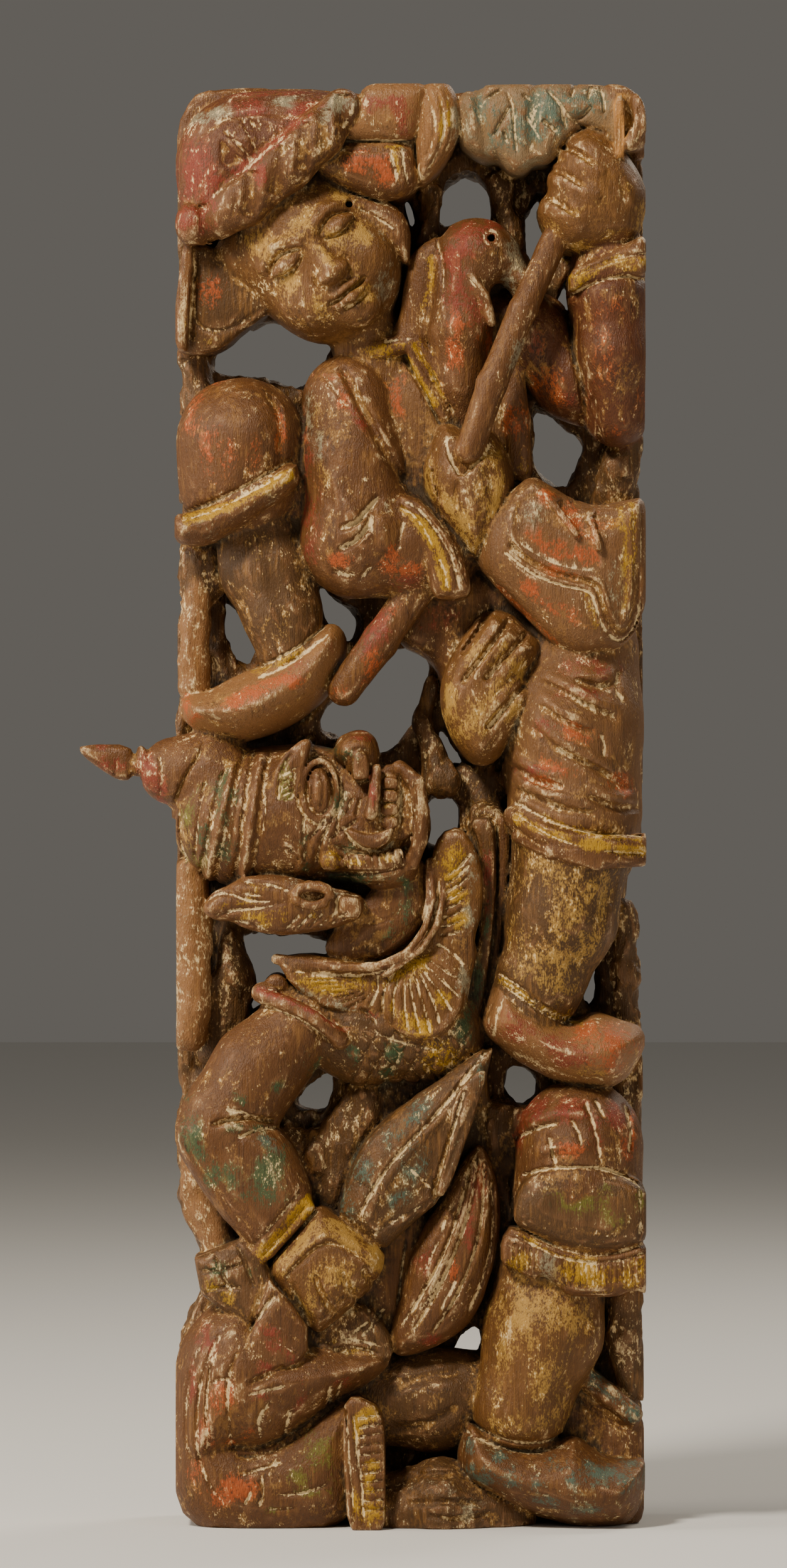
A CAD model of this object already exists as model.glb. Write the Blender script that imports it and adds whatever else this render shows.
import math

import bmesh
import bpy
import numpy as np
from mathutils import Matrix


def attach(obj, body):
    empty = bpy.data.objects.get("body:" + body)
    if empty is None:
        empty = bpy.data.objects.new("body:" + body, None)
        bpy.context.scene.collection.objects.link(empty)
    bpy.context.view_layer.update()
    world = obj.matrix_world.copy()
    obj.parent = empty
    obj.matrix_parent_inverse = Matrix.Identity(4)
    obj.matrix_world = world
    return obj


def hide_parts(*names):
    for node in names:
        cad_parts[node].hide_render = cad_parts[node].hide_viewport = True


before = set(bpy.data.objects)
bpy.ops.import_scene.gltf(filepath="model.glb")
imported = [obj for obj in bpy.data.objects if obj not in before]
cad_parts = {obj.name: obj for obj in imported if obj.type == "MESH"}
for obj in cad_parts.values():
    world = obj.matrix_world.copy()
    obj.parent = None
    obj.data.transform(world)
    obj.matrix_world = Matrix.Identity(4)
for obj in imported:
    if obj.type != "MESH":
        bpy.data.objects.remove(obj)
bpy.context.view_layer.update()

import openvdb
from mathutils import Vector

# The carving is worked out on a grid of distances to its surface, in millimetres, in the
# frame of the CAD part: X across, Y from the carved front to the back, Z up. No distance
# beyond FAR matters.
MM = 0.001
VOXEL = 0.8
LOW = np.array([-142.0, -45.0, -4.0])
HIGH = np.array([101.0, 45.0, 603.0])
FAR = 6.0
COUNT = np.round((HIGH - LOW) / VOXEL).astype(int) + 1
GRID_X, GRID_Y, GRID_Z = (LOW[i] + VOXEL * np.arange(COUNT[i], dtype=np.float32) for i in range(3))

# The plank, as in the CAD part. The rough layer behind the figures starts at STRUTS, and the
# forms reach back into it as far as BURIED.
LEFT, RIGHT, TOP, FRONT, BACK, CORNER = -98.0, 97.0, 599.0, -40.0, 40.0, 14.0
STRUTS, BURIED = 12.0, 18.0

# The middle of the picture. The openings lie far behind the carving's front, so they are spread
# a little from here to show where the photograph has them.
EYE_X, EYE_Z = -7.5, 308.6
OPENING_SPREAD = 1.014

# How softly the stretches of a limb run into each other, for each unit of their width, and how
# much is cut off a corner each time an outline or a line is rounded.
LIMB_JOINT = 0.15
OUTLINE_CUT, LINE_CUT = 0.22, 0.25

# The marks of the tool, in millimetres: most forms are only slightly uneven, and the marks die
# away towards the back. Broad, small and fine marks lie over each other, longer along the grain.
SMOOTH = 0.35
ROUGH = {"struts": 2.2, "infill": 2.6, "post": 1.6, "border": 0.7, "mound": 1.2, "none": 1.5}
CALM_BACK = 8.0
BROAD_MARK, SMALL_MARK, FINE_MARK = (11, 9, 17), (4, 4, 7), (1.8, 1.8, 3)
SMALL_SHARE, FINE_SHARE = 0.55, 0.45

# The depth that stands for a place where nothing is in front.
OPEN = 1e3

# A stroke is cut in full to a little behind the carved front, and fades out further back. The
# pale ground along it fills the middle of the stroke, in shares of its width.
RELIEF_FULL, RELIEF_FADE = 3.0, 6.0
CHALK_CORE, CHALK_WIDTH = 1.25, 0.3

# The scoops that the adze left on the back, and how much each lane of them is moved along.
SCOOP_WIDTH, SCOOP_LENGTH, SCOOP_DEPTH, LANE_SHIFT = 21.0, 42.0, 1.1, 5

# The spear alone stands out past the plank's left side: its height, the room above and below it,
# and where it comes out of the plank.
SPEAR_Z, SPEAR_ROOM, SPEAR_X = 318.0, 24.0, LEFT + 3

MOST_TRIANGLES = 196000
SHORTEST_EDGE = 0.02

wood = np.full(COUNT, FAR, np.float32)
owner = np.zeros(COUNT, np.uint8)
form_names = ["none"]


def form_number(name):
    if name not in form_names:
        form_names.append(name)
    return form_names.index(name)


def window(low, high):
    """The part of the grid between two corners, and its coordinates ready to be combined."""
    first = np.clip(np.floor((np.array(low) - LOW) / VOXEL).astype(int), 0, COUNT - 1)
    last = np.clip(np.ceil((np.array(high) - LOW) / VOXEL).astype(int) + 1, 1, COUNT)
    part = tuple(slice(a, b) for a, b in zip(first, last))
    return part, GRID_X[part[0], None, None], GRID_Y[None, part[1], None], GRID_Z[None, None, part[2]]


def smooth_min(a, b, blend):
    share = np.clip(0.5 + 0.5 * (b - a) / blend, 0, 1)
    return b + (a - b) * share - blend * share * (1 - share)


def merge(form, part, distance, blend):
    """Adds a form to the wood, and notes which places are now its own."""
    mine = owner[part]
    mine[distance < wood[part]] = form_number(form)
    wood[part] = smooth_min(wood[part], distance, blend)


def carve(part, distance, blend):
    wood[part] = -smooth_min(-wood[part], distance, blend)


def place(form, part, distance, blend, cut):
    if cut:
        carve(part, distance, blend)
    else:
        merge(form, part, distance, blend)


def limb_distance(stations, depth, x, y, z):
    whole = None
    for a, b in zip(stations, stations[1:]):
        axis = b[:3] - a[:3]
        share = ((x - a[0]) * axis[0] + (y - a[1]) * axis[1] + (z - a[2]) * axis[2]) / (axis @ axis)
        share = np.clip(share, 0, 1)
        gap = np.sqrt(
            (x - a[0] - share * axis[0]) ** 2
            + ((y - a[1] - share * axis[1]) / depth) ** 2
            + (z - a[2] - share * axis[2]) ** 2
        ) - (a[3] + share * (b[3] - a[3]))
        whole = gap if whole is None else smooth_min(whole, gap, LIMB_JOINT * (a[3] + b[3]))
    return whole


def limb(form, stations, depth=1.0, blend=1.2, cut=False):
    """A rounded limb through stations (x, y, z, radius), as in the CAD part. depth is how many
    times deeper than wide it is."""
    stations = np.array(stations, float)
    reach = stations[:, 3:] * [1, depth, 1] + FAR
    part, x, y, z = window((stations[:, :3] - reach).min(0), (stations[:, :3] + reach).max(0))
    place(form, part, limb_distance(stations, depth, x, y, z), blend, cut)


def band(form, radius, route, blend=1.0):
    """A rounded strip of one radius through places (x, y, z)."""
    limb(form, [(x, y, z, radius) for x, y, z in route], blend=blend)


def ball(form, centre, radii, lean=0.0, blend=1.2, cut=False):
    """An egg-shaped form with radii along X, Y and Z, leaning about Y by some degrees."""
    reach = max(radii[0], radii[2]) + FAR
    spread = np.array([reach, radii[1] + FAR, reach])
    part, x, y, z = window(np.array(centre) - spread, np.array(centre) + spread)
    turn = math.radians(lean)
    dx, dy, dz = x - centre[0], y - centre[1], z - centre[2]
    across = dx * math.cos(turn) - dz * math.sin(turn)
    along = dx * math.sin(turn) + dz * math.cos(turn)
    near = np.sqrt((across / radii[0]) ** 2 + (dy / radii[1]) ** 2 + (along / radii[2]) ** 2)
    slope = np.sqrt(
        (across / radii[0] ** 2) ** 2 + (dy / radii[1] ** 2) ** 2 + (along / radii[2] ** 2) ** 2
    )
    place(form, part, near * (near - 1) / np.maximum(slope, 1e-6), blend, cut)


def cut_corners(points, ahead, share):
    """Two points on each side of an outline or a line, a share of the side in from its ends."""
    near, far = (1 - share) * points + share * ahead, share * points + (1 - share) * ahead
    return np.stack([near, far], 1).reshape(-1, 2)


def rounded(outline, rounds):
    """An outline with its corners cut off again and again, so that it runs round."""
    points = np.array(outline, float)
    for _ in range(rounds):
        points = cut_corners(points, np.roll(points, -1, axis=0), OUTLINE_CUT)
    return points


def outline_distance(points, x, z):
    """The distance to a closed outline in the X-Z plane, negative inside."""
    nearest = np.full(np.broadcast(x, z).shape, 1e9, np.float32)
    inside = np.zeros(nearest.shape, bool)
    for (ax, az), (bx, bz) in zip(points, np.roll(points, -1, axis=0)):
        ex, ez = bx - ax, bz - az
        share = np.clip(((x - ax) * ex + (z - az) * ez) / max(ex * ex + ez * ez, 1e-9), 0, 1)
        nearest = np.minimum(nearest, (x - ax - share * ex) ** 2 + (z - az - share * ez) ** 2)
        if az != bz:
            inside ^= ((az > z) != (bz > z)) & (x < (z - az) * ex / ez + ax)
    distance = np.sqrt(nearest)
    return np.where(inside, -distance, distance)


def plate(form, outline, front, back=BURIED, edge=3.0, puff=0.0, reach=14.0, blend=1.2, rounds=2,
          cut=False):
    """A flat form with rounded edges. puff swells its front, over reach from its edge."""
    points = rounded(outline, rounds)
    low = [points[:, 0].min() - FAR, FRONT - FAR, points[:, 1].min() - FAR]
    high = [points[:, 0].max() + FAR, back + FAR, points[:, 1].max() + FAR]
    part, x, y, z = window(low, high)
    flat = outline_distance(points, x[:, 0, :], z[:, 0, :])[:, None, :]
    face = front - puff * (1 - (1 - np.clip(-flat / reach, 0, 1)) ** 2)
    across = flat + edge
    along = np.abs(y - (face + back) / 2) - (back - face) / 2 + edge
    distance = np.minimum(np.maximum(across, along), 0) - edge
    distance = distance + np.sqrt(np.maximum(across, 0) ** 2 + np.maximum(along, 0) ** 2)
    place(form, part, distance.astype(np.float32), blend, cut)


def drill(x, z, radius, front, bottom):
    """A round hole from the front."""
    limb("", [(x, front, z, radius), (x, bottom, z, radius)], blend=0.3, cut=True)


# The rough layer behind the figures, with the openings that go right through the panel.
OPENINGS = [
    [(10, 540), (12, 554), (20, 563), (28, 561), (35, 552), (35, 541), (24, 538)],
    [(-4, 552), (0, 550), (4, 540), (-2, 538)],
    [(45, 530), (46, 544), (54, 555), (55, 545), (59, 536), (51, 520)],
    [(57, 506), (64, 522), (67, 510), (66, 498)],
    [(-82, 477), (-82, 488), (-66, 500), (-46, 502), (-30, 498), (-32, 486), (-46, 470), (-60, 476)],
    [(49, 466), (58, 462), (72, 450), (70, 440), (64, 429), (50, 437)],
    [(-79, 362), (-79, 388), (-72, 381), (-64, 366), (-66, 355)],
    [(-40, 391), (-34, 391), (-19, 376), (-26, 364), (-38, 378)],
    [(-40, 338), (-37, 329), (-14, 320), (-8, 321), (4, 336), (9, 358), (2, 366), (-10, 364)],
    [(11, 333), (20, 322), (27, 316), (16, 315), (11, 322)],
    [(5, 284), (6, 301), (13, 305), (20, 301), (21, 286), (13, 281)],
    [(-75, 247), (-36, 248), (-30, 237), (-52, 230), (-62, 216), (-70, 206), (-66, 226), (-70, 234)],
    [(76, 237), (68, 222), (74, 213), (79, 222)],
    [(-30, 196), (-29, 182), (-34, 172), (-49, 175), (-43, 185)],
    [(40, 195), (53, 188), (51, 178), (44, 174), (38, 181)],
    [(13, 73), (24, 84), (30, 83), (28, 71)],
]


def struts():
    outline = [
        (-98, -6), (-98, 72), (-88, 97), (-80, 113), (-88, 136), (-98, 164), (-98, 330), (-95, 346),
        (-98, 356), (-98, 372), (-94, 400), (-96, 450), (-94, 486), (-98, 492), (-98, 583), (-92, 595),
        (-82, 599), (-30, 598), (-12, 594), (8, 595), (26, 598), (84, 599), (94, 593), (97, 584),
        (97, 458), (93, 446), (96, 428), (97, 366), (97, 290), (88, 262), (93, 242), (93, 214), (97, 206),
        (97, 98), (93, 88), (93, 58), (97, 42), (97, -6),
    ]
    plate("struts", outline, STRUTS, BACK, edge=1.5, rounds=1)
    for opening in OPENINGS:
        spread = np.array([EYE_X, EYE_Z]) + OPENING_SPREAD * (np.array(opening) - [EYE_X, EYE_Z])
        plate("", spread, FRONT - FAR, BACK + FAR, edge=0.5, blend=3.0, cut=True)
    border = [
        (-98, 560), (-98, 583), (-92, 595), (-82, 599), (-30, 598), (-12, 594), (8, 595), (26, 598),
        (84, 599), (94, 593), (97, 584), (97, 566), (80, 580), (-80, 580),
    ]
    plate("border", border, -8, edge=3, rounds=1)


def posts():
    """The uprights and branches behind the figures."""
    for post in (
        [(-92, 6, 492, 5), (-89, 8, 470, 7), (-91, 8, 430, 6)],
        [(-84, 10, 392, 4), (-80, 10, 366, 5), (-74, 12, 354, 5)],
        [(-91, 0, 274, 7), (-91, 0, 240, 7), (-92, 0, 204, 7)],
        [(-76, 10, 250, 4), (-76, 8, 226, 9), (-80, 10, 200, 10)],
        [(-96, 4, 168, 6), (-90, 2, 142, 7), (-82, 2, 118, 7)],
        [(88, 2, 256, 5), (89, 0, 232, 6), (90, 2, 206, 6)],
        [(88, 4, 96, 8), (88, 2, 76, 8), (92, 2, 54, 5)],
        [(90, 6, 452, 6), (86, 6, 440, 8), (84, 8, 428, 8)],
        [(8, 8, 556, 3.5), (7, 6, 546, 4), (8, 4, 534, 5)],
        [(38, 8, 560, 6), (39, 8, 548, 4), (43, 8, 534, 3)],
        [(-28, 6, 192, 3.5), (-27, 5, 176, 4.5), (-34, 8, 160, 5)],
        [(9, 8, 352, 3), (6, 8, 334, 5), (12, 6, 310, 8)],
    ):
        limb("struts", post, blend=2.5)
    for post in (
        [(-91, -4, 272, 7), (-91, -4, 240, 7), (-92, -3, 204, 7)],
        [(-93, -2, 170, 6), (-89, -3, 142, 7), (-80, -3, 118, 7)],
        [(-89, 2, 406, 7), (-90, -2, 376, 6.5), (-91, -2, 350, 7)],
    ):
        limb("post", post, blend=2)


def infill():
    """Rough wood left between the figures and the struts."""
    for outline in (
        [(14, 402), (30, 404), (46, 384), (62, 366), (66, 340), (62, 300), (42, 300), (36, 314), (48, 330),
         (54, 346), (54, 362), (40, 384), (20, 388)],
        [(-56, 172), (-44, 160), (-36, 166), (-30, 176), (-26, 188), (-16, 190), (-10, 168), (-14, 140),
         (-22, 122), (-46, 130)],
        [(28, 176), (38, 176), (52, 172), (56, 150), (46, 130), (42, 108), (34, 100), (30, 128), (30, 150)],
        [(-12, 462), (8, 462), (10, 424), (-4, 420), (-20, 430)],
        [(24, 300), (42, 300), (42, 206), (24, 196), (22, 250)],
        [(-97, 412), (-76, 412), (-74, 398), (-80, 386), (-97, 378)],
    ):
        plate("infill", outline, -5, edge=4, puff=2, blend=2.5)


def cap():
    crown = [
        (-98, 560), (-98, 572), (-92, 585), (-84, 592), (-70, 597), (-32, 597), (-24, 592), (-34, 575),
        (-60, 552), (-84, 533), (-95, 541),
    ]
    plate("cap", crown, -22, edge=8, puff=13, reach=30)
    roll = [
        (-86, -22, 541, 9), (-70, -27, 550, 10.5), (-52, -29, 565, 11), (-38, -29, 578, 10),
        (-29, -27, 589, 8),
    ]
    limb("brim", roll, 1.0, blend=0.6)
    ball("knot", (-91, -23, 541), (7, 9, 9), blend=0.6)


# The upper figure's face. The shares say how far out the eyes sit and how high a third of the
# face is, of its half width and half height.
FACE_CENTRE = np.array([-40.0, -6.0, 530.0])
FACE_LEAN = math.radians(-38)
FACE_HALF_WIDTH, FACE_HALF_HEIGHT = 32.0, 40.0
EYE_SHARE, THIRD_SHARE = 0.4, 0.58


def on_face(across, up, y):
    """A place on the upper figure's face: across to the viewer's right and up along the face."""
    return (
        FACE_CENTRE[0] + across * math.cos(FACE_LEAN) + up * math.sin(FACE_LEAN),
        y,
        FACE_CENTRE[2] - across * math.sin(FACE_LEAN) + up * math.cos(FACE_LEAN),
    )


def upper_face():
    """A calm, plain face on the usual proportions: eyes half way up the head, and the hairline,
    brow, nose and chin a third of the face apart."""
    lean = math.degrees(FACE_LEAN)
    third = FACE_HALF_HEIGHT * THIRD_SHARE
    chin_line = -FACE_HALF_HEIGHT + 2
    nose_line = chin_line + third
    brow_line = nose_line + third
    eye = FACE_HALF_WIDTH * EYE_SHARE
    ball("face", FACE_CENTRE, (FACE_HALF_WIDTH, 27, FACE_HALF_HEIGHT), lean)
    ball("face", on_face(0, -16, -10), (25, 22, 20), lean, blend=8)
    for side in (-1, 1):
        ball("face", on_face(side * eye, brow_line - 6, -38), (9.5, 6.5, 6), lean, blend=4, cut=True)
        ball("face", on_face(side * eye, brow_line - 6.5, -27.5), (8.2, 6, 4.8), lean, blend=1.2)
        ball("face", on_face(side * 16, nose_line - 1, -21), (10, 9.5, 9.5), lean, blend=7)
        band("face", 2.2, [
            on_face(side * 4, brow_line - 1, -32.5), on_face(side * 13, brow_line + 2.4, -31),
            on_face(side * 22, brow_line - 1, -25),
        ], blend=3.5)
        ball("face", on_face(side * 5, nose_line + 2, -33.5), (3.2, 3.6, 3), lean, blend=1.6)
    limb("face", [
        (*on_face(0, brow_line, -30), 3), (*on_face(0, nose_line + 9, -33), 3.4),
        (*on_face(0, nose_line + 3, -35.5), 4.4),
    ], blend=3.5)
    mouth = nose_line - third / 3
    limb("face", [
        (*on_face(-8.5, mouth + 1.6, -30.5), 1.5), (*on_face(0, mouth + 1.4, -34), 2.4),
        (*on_face(8.5, mouth + 1.6, -30.5), 1.5),
    ], blend=1.4)
    limb("face", [
        (*on_face(-7, mouth - 2, -30.5), 1.6), (*on_face(0, mouth - 2.6, -33.5), 3),
        (*on_face(7, mouth - 2, -30.5), 1.6),
    ], blend=1.4)
    ball("face", on_face(0, chin_line + 7, -25), (9, 7, 7), lean, blend=5)


def upper_head_cloth():
    temple = [(-84, 530), (-74, 541), (-60, 550), (-48, 556), (-52, 530), (-64, 510), (-76, 518)]
    plate("face", temple, -14, edge=5, puff=5, blend=3)
    headband = [
        (-48, 562), (-36, 558), (-20, 553), (-6, 549), (0, 541), (-1, 522), (-9, 532), (-20, 542),
        (-36, 550),
    ]
    plate("headband", headband, -22, edge=4, puff=2)
    drill(-26, 549, 1.6, -34, -14)
    limb("neck_up", [(-24, 0, 508, 15), (-12, 2, 480, 18)], blend=3)
    flap = [(-95, 534), (-98, 505), (-98, 490), (-90, 487), (-79, 489), (-68, 499), (-56, 507), (-80, 532)]
    plate("flap", flap, -14, edge=3, puff=2)
    plate("flap_edge", [(-90, 534), (-95, 534), (-98, 505), (-98, 490), (-93, 488)], -22, edge=2, rounds=1)


def top_cloth():
    sheet = [(-31, 575), (-24, 589), (-19, 600), (8, 600), (5, 588), (2, 574)]
    plate("cloth", sheet, -27, edge=4, puff=4, reach=10)
    plate("cloth", [(-36, 582), (2, 582), (2, 566), (-34, 566)], -23, edge=2, rounds=1)
    fold = [(-43, 564), (-30, 576), (1, 576), (4, 558), (-4, 551), (-14, 551), (-27, 555)]
    plate("cloth_fold", fold, -24, edge=4, puff=5, reach=9)
    turn = [(1, 577), (1, 562), (4, 556), (13, 565), (20, 577), (20, 590), (16, 600), (4, 600)]
    plate("cloth_turn", turn, -26, edge=4, puff=5, reach=10)


def canopy():
    sheet = [
        (18, 600), (19, 575), (25, 570), (31, 567), (36, 568), (41, 562), (47, 562), (51, 566), (57, 566),
        (62, 571), (66, 577), (72, 581), (78, 578), (84, 570), (90, 574), (92, 600),
    ]
    plate("leaves", sheet, -23, edge=4, puff=4, reach=14)
    plate("corner", [(78, 600), (82, 582), (86, 571), (97, 572), (98, 584), (94, 600)], -24, edge=4, puff=3)
    plate("splinter", [(84, 568), (84, 588), (86, 595), (88, 590), (88, 568)], -31, edge=1, rounds=1)
    limb("corner", [(94, -27, 592, 3), (95, -29, 582, 3.5), (91, -29, 574, 3)])


def raised_arm():
    hand = [
        (72, 581), (66, 578), (62, 572), (61, 567), (58, 565), (56, 559), (57, 555), (54, 552), (52, 547),
        (54, 540), (58, 534), (64, 530), (75, 529), (85, 531), (94, 535), (97, 545), (98, 553), (95, 562),
        (89, 571), (82, 578), (76, 581),
    ]
    plate("fist_top", hand, -27, edge=8, puff=9, reach=20, rounds=1)
    arm = [(82, -8, 530, 15), (82, -10, 512, 16.5), (84, -10, 488, 17), (85, -6, 463, 14)]
    limb("forearm", arm, 1.3, blend=1.0)
    cuff = [(65, 521), (75, 526), (86, 531), (98, 537), (98, 518), (86, 519), (75, 516), (65, 511)]
    plate("cuff_top", cuff, -30, edge=3, puff=2, reach=8, rounds=1)
    upper = [(88, 2, 460, 10), (68, 0, 477, 16), (50, 2, 496, 17), (24, 4, 505, 18)]
    limb("upper_arm", upper, 1.05, blend=1.0)


def bird():
    ball("bird", (27, -10, 528), (18, 20, 16), blend=2)
    limb("bird", [(22, -12, 518, 14), (20, -14, 498, 13), (21, -12, 476, 11), (22, -6, 458, 9)], 1.2, blend=3)
    limb("bird", [(38, -12, 526, 9), (45, -15, 518, 6), (46, -16, 508, 3)], 1.2, blend=3)
    plate("", [(33, 500), (32, 513), (35, 517), (39, 516), (39, 500)], -44, -12, edge=1, blend=1, cut=True)
    band("bird", 2.2, [(24, -28, 519), (30, -28, 511), (33, -26, 500)], blend=1.5)
    drill(33, 535, 1.7, -40, -14)


def shawl():
    """The raised edge of cloth between the face and the bird."""
    edge = [
        (-10, 490), (-5, 503), (-3, 518), (0, 530), (6, 534), (11, 537), (14, 528), (13, 510), (10, 494),
        (2, 488),
    ]
    plate("shawl", edge, -15, edge=3, puff=3, reach=8)


def staff():
    limb("staff", [(59, -22, 534, 6), (46, -28, 505, 5.8), (33, -31, 474, 6.3), (24, -31, 447, 6)], blend=0.5)
    limb("staff", [(4, -18, 392, 7.5), (-13, -20, 368, 7.5), (-28, -20, 348, 7.2)], blend=0.5)


def torso():
    chest = [
        (-44, 470), (-36, 482), (-24, 488), (-8, 490), (12, 502), (32, 512), (46, 504), (46, 470),
        (43, 436), (36, 412), (0, 402), (-24, 408), (-42, 430),
    ]
    plate("jacket", chest, -9, edge=7, puff=9, reach=28)
    plate("lapel", [(-4, 494), (4, 495), (12, 482), (21, 466), (13, 456), (3, 474)], -19, edge=2, puff=2)
    limb("neckband", [(-28, -8, 489, 4), (-12, -13, 489, 4.5), (0, -15, 493, 4)], 1.1)
    limb("ribbon", [(42, -8, 480, 5), (43, -10, 460, 6.5), (45, -10, 440, 5.5)], 0.8)


def bent_arm():
    limb("sleeve", [(-26, -6, 468, 19.5), (-25, -11, 442, 21), (-22, -14, 412, 24)], 1.05, blend=1.0)
    limb("sleeve", [(-22, -14, 410, 24), (-2, -14, 407, 20.5), (10, -13, 404, 17.5)], 1.0, blend=5)
    cuff = [
        (-7, 428), (3, 427), (11, 420), (18, 410), (23, 398), (25, 387), (16, 385), (9, 386), (5, 400),
        (-2, 415),
    ]
    plate("sleeve_cuff", cuff, -33, edge=3, puff=3, reach=7, rounds=1)
    hand = [
        (12, 460), (7, 450), (4, 440), (4, 430), (7, 421), (14, 411), (21, 402), (27, 399), (34, 405),
        (39, 413), (42, 424), (43, 435), (40, 446), (34, 456), (24, 456),
    ]
    plate("hand", hand, -22, edge=8, puff=13, reach=18, blend=0.8)
    plate("", [
        (15, 464), (14, 448), (20, 434), (27, 441), (33, 454), (32, 464),
    ], -46, -30, edge=1.5, blend=1.5, rounds=1, cut=True)


def skirt():
    panel = [
        (30, 418), (41, 430), (50, 437), (58, 432), (66, 427), (76, 424), (88, 426), (98, 428), (98, 386),
        (93, 371), (86, 365), (70, 361), (58, 367), (46, 379), (34, 391), (27, 400),
    ]
    plate("skirt", panel, -29, edge=6, puff=8, reach=18)
    lap = [(-8, 368), (0, 392), (28, 402), (52, 386), (56, 360), (40, 346), (14, 346), (9, 360)]
    plate("lap", lap, -8, edge=5, puff=4)


def raised_leg():
    limb("knee", [(-71, -8, 451, 27), (-70, -6, 436, 27)], 1.1, blend=1.0)
    limb("knee", [(-62, 0, 440, 24), (-36, 2, 424, 22), (2, 4, 404, 20)], blend=3)
    hem = [
        (-99, 420), (-88, 422), (-74, 428), (-60, 436), (-48, 443), (-46, 434), (-50, 429), (-62, 421),
        (-74, 413), (-84, 408), (-95, 408), (-99, 411),
    ]
    plate("knee_hem", hem, -34, edge=4.5, puff=5, reach=9, rounds=1, blend=0.6)
    calf = [(-63, -1, 416, 20), (-60, -4, 398, 19), (-54, -8, 380, 16), (-50, -10, 362, 14)]
    limb("calf", calf, 1.15, blend=0.5)
    foot = [
        (-95, 345), (-96, 340), (-94, 334), (-88, 331), (-80, 328), (-70, 326), (-62, 328), (-52, 332),
        (-44, 337), (-35, 345), (-31, 353), (-27, 362), (-27, 371), (-32, 376), (-40, 374), (-48, 367),
        (-57, 361), (-66, 357), (-74, 353), (-84, 348),
    ]
    plate("boot_left", foot, -19, edge=9, puff=15, reach=18, blend=0.8)


def standing_leg():
    limb("thigh", [(69, 2, 364, 26), (67, -6, 334, 28), (68, -8, 296, 28)], 1.05, blend=0.8)
    band("thigh_hem", 5.4, [(43, -18, 295), (56, -33, 288), (76, -37, 283), (96, -28, 283)], blend=0.6)
    band("thigh_hem", 3.6, [(45, -22, 287), (58, -35, 281), (76, -38, 277), (95, -28, 278)], blend=0.6)
    shaft = [(66, -8, 280, 25), (62, -9, 252, 22.5), (54, -10, 228, 18), (49, -10, 212, 17)]
    limb("shaft_right", shaft, 1.15, blend=0.8)
    foot = [
        (35, 229), (31, 216), (29, 208), (32, 203), (42, 195), (50, 190), (58, 186), (66, 183),
        (75, 181.5), (83, 182), (90, 186), (95, 194), (98, 202), (95, 208), (86, 211), (76, 214),
        (69, 210), (60, 212), (48, 221),
    ]
    plate("boot_right", foot, -20, edge=9, puff=16, reach=18, blend=0.8)


def open_hand():
    palm = [
        (12, 350), (15, 359), (20, 368), (25, 375), (31, 381), (36, 381), (42, 379), (46, 375), (50, 371),
        (54, 367), (53, 361), (48, 353), (51, 349), (54, 345), (50, 338), (45, 332), (40, 325), (35, 318),
        (30, 316), (25, 317), (20, 322), (15, 330), (12, 340),
    ]
    plate("open_hand", palm, -24, edge=7, puff=9, reach=14, rounds=1, blend=0.8)


def guardian_head():
    skull = [
        (-73, -5, 293, 26.5), (-60, -5, 294, 28), (-42, -5, 295, 28), (-20, -5, 292, 26),
        (-8, -4, 291, 15),
    ]
    limb("helmet", skull, 1.02)
    frame_outline = [
        (-59, 289), (-58, 302), (-57, 314), (-52, 322), (-44, 328), (-41, 326), (-44, 317), (-46, 304),
        (-46, 290), (-50, 288),
    ]
    plate("brow", frame_outline, -34.5, edge=2, puff=1)
    ball("eye", (-38.5, -31, 306), (5, 6, 9.5), blend=0.8)
    ring = [(-38 + 7 * math.cos(a), -32.5, 306 + 12.5 * math.sin(a)) for a in np.linspace(0, 2 * math.pi, 13)]
    band("beast", 1.7, ring, blend=1.0)


def guardian_face():
    nose = [
        (-33, 320), (-31, 328), (-24, 331), (-19, 331), (-15, 328), (-13, 321), (-15, 313), (-20, 309),
        (-26, 312), (-29, 317),
    ]
    plate("nose", nose, -28, edge=5, puff=8, reach=9)
    plate("nose", [(-25, 311), (-25, 320), (-18, 321), (-17, 312), (-21, 310)], -37, edge=1.5)
    limb("beast", [(-14, -31, 314, 3), (-15, -34, 304, 3.2), (-17, -34, 296, 2.8)], blend=1.0)
    gums = [(-15, 312), (-11, 317), (-4, 316), (2, 308), (2, 288), (-6, 284), (-15, 290)]
    plate("beast", gums, -28, edge=2, blend=1.0)
    for i in range(4):
        height = 309 - 5.4 * i
        plate("teeth", [
            (-13, height - 2.6), (-13, height + 2.6), (-5.5, height + 2.4), (-5.5, height - 2.6),
        ], -32, edge=1.2, rounds=1, blend=0.4)
    band("beast", 3.4, [(-5, -27, 315), (2, -30, 309), (4, -30, 297), (3, -29, 285), (0, -27, 276)])
    crescent = [
        (-28, 291), (-26, 286), (-21, 282.5), (-14, 281.5), (-9, 285), (-7, 291), (-12, 289), (-19, 288),
    ]
    plate("beast", crescent, -36, edge=1.5, puff=1, rounds=1)
    ball("beast", (-12, -18, 274), (16, 13, 9), blend=2)
    plate("beard", [
        (-30, 280), (-12, 280), (-4, 283), (-3, 276), (-12, 273), (-30, 273),
    ], -32, edge=1.5, puff=1)
    ball("beast", (-34, -30, 277), (4, 4.5, 4.5), blend=0.8)


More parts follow.
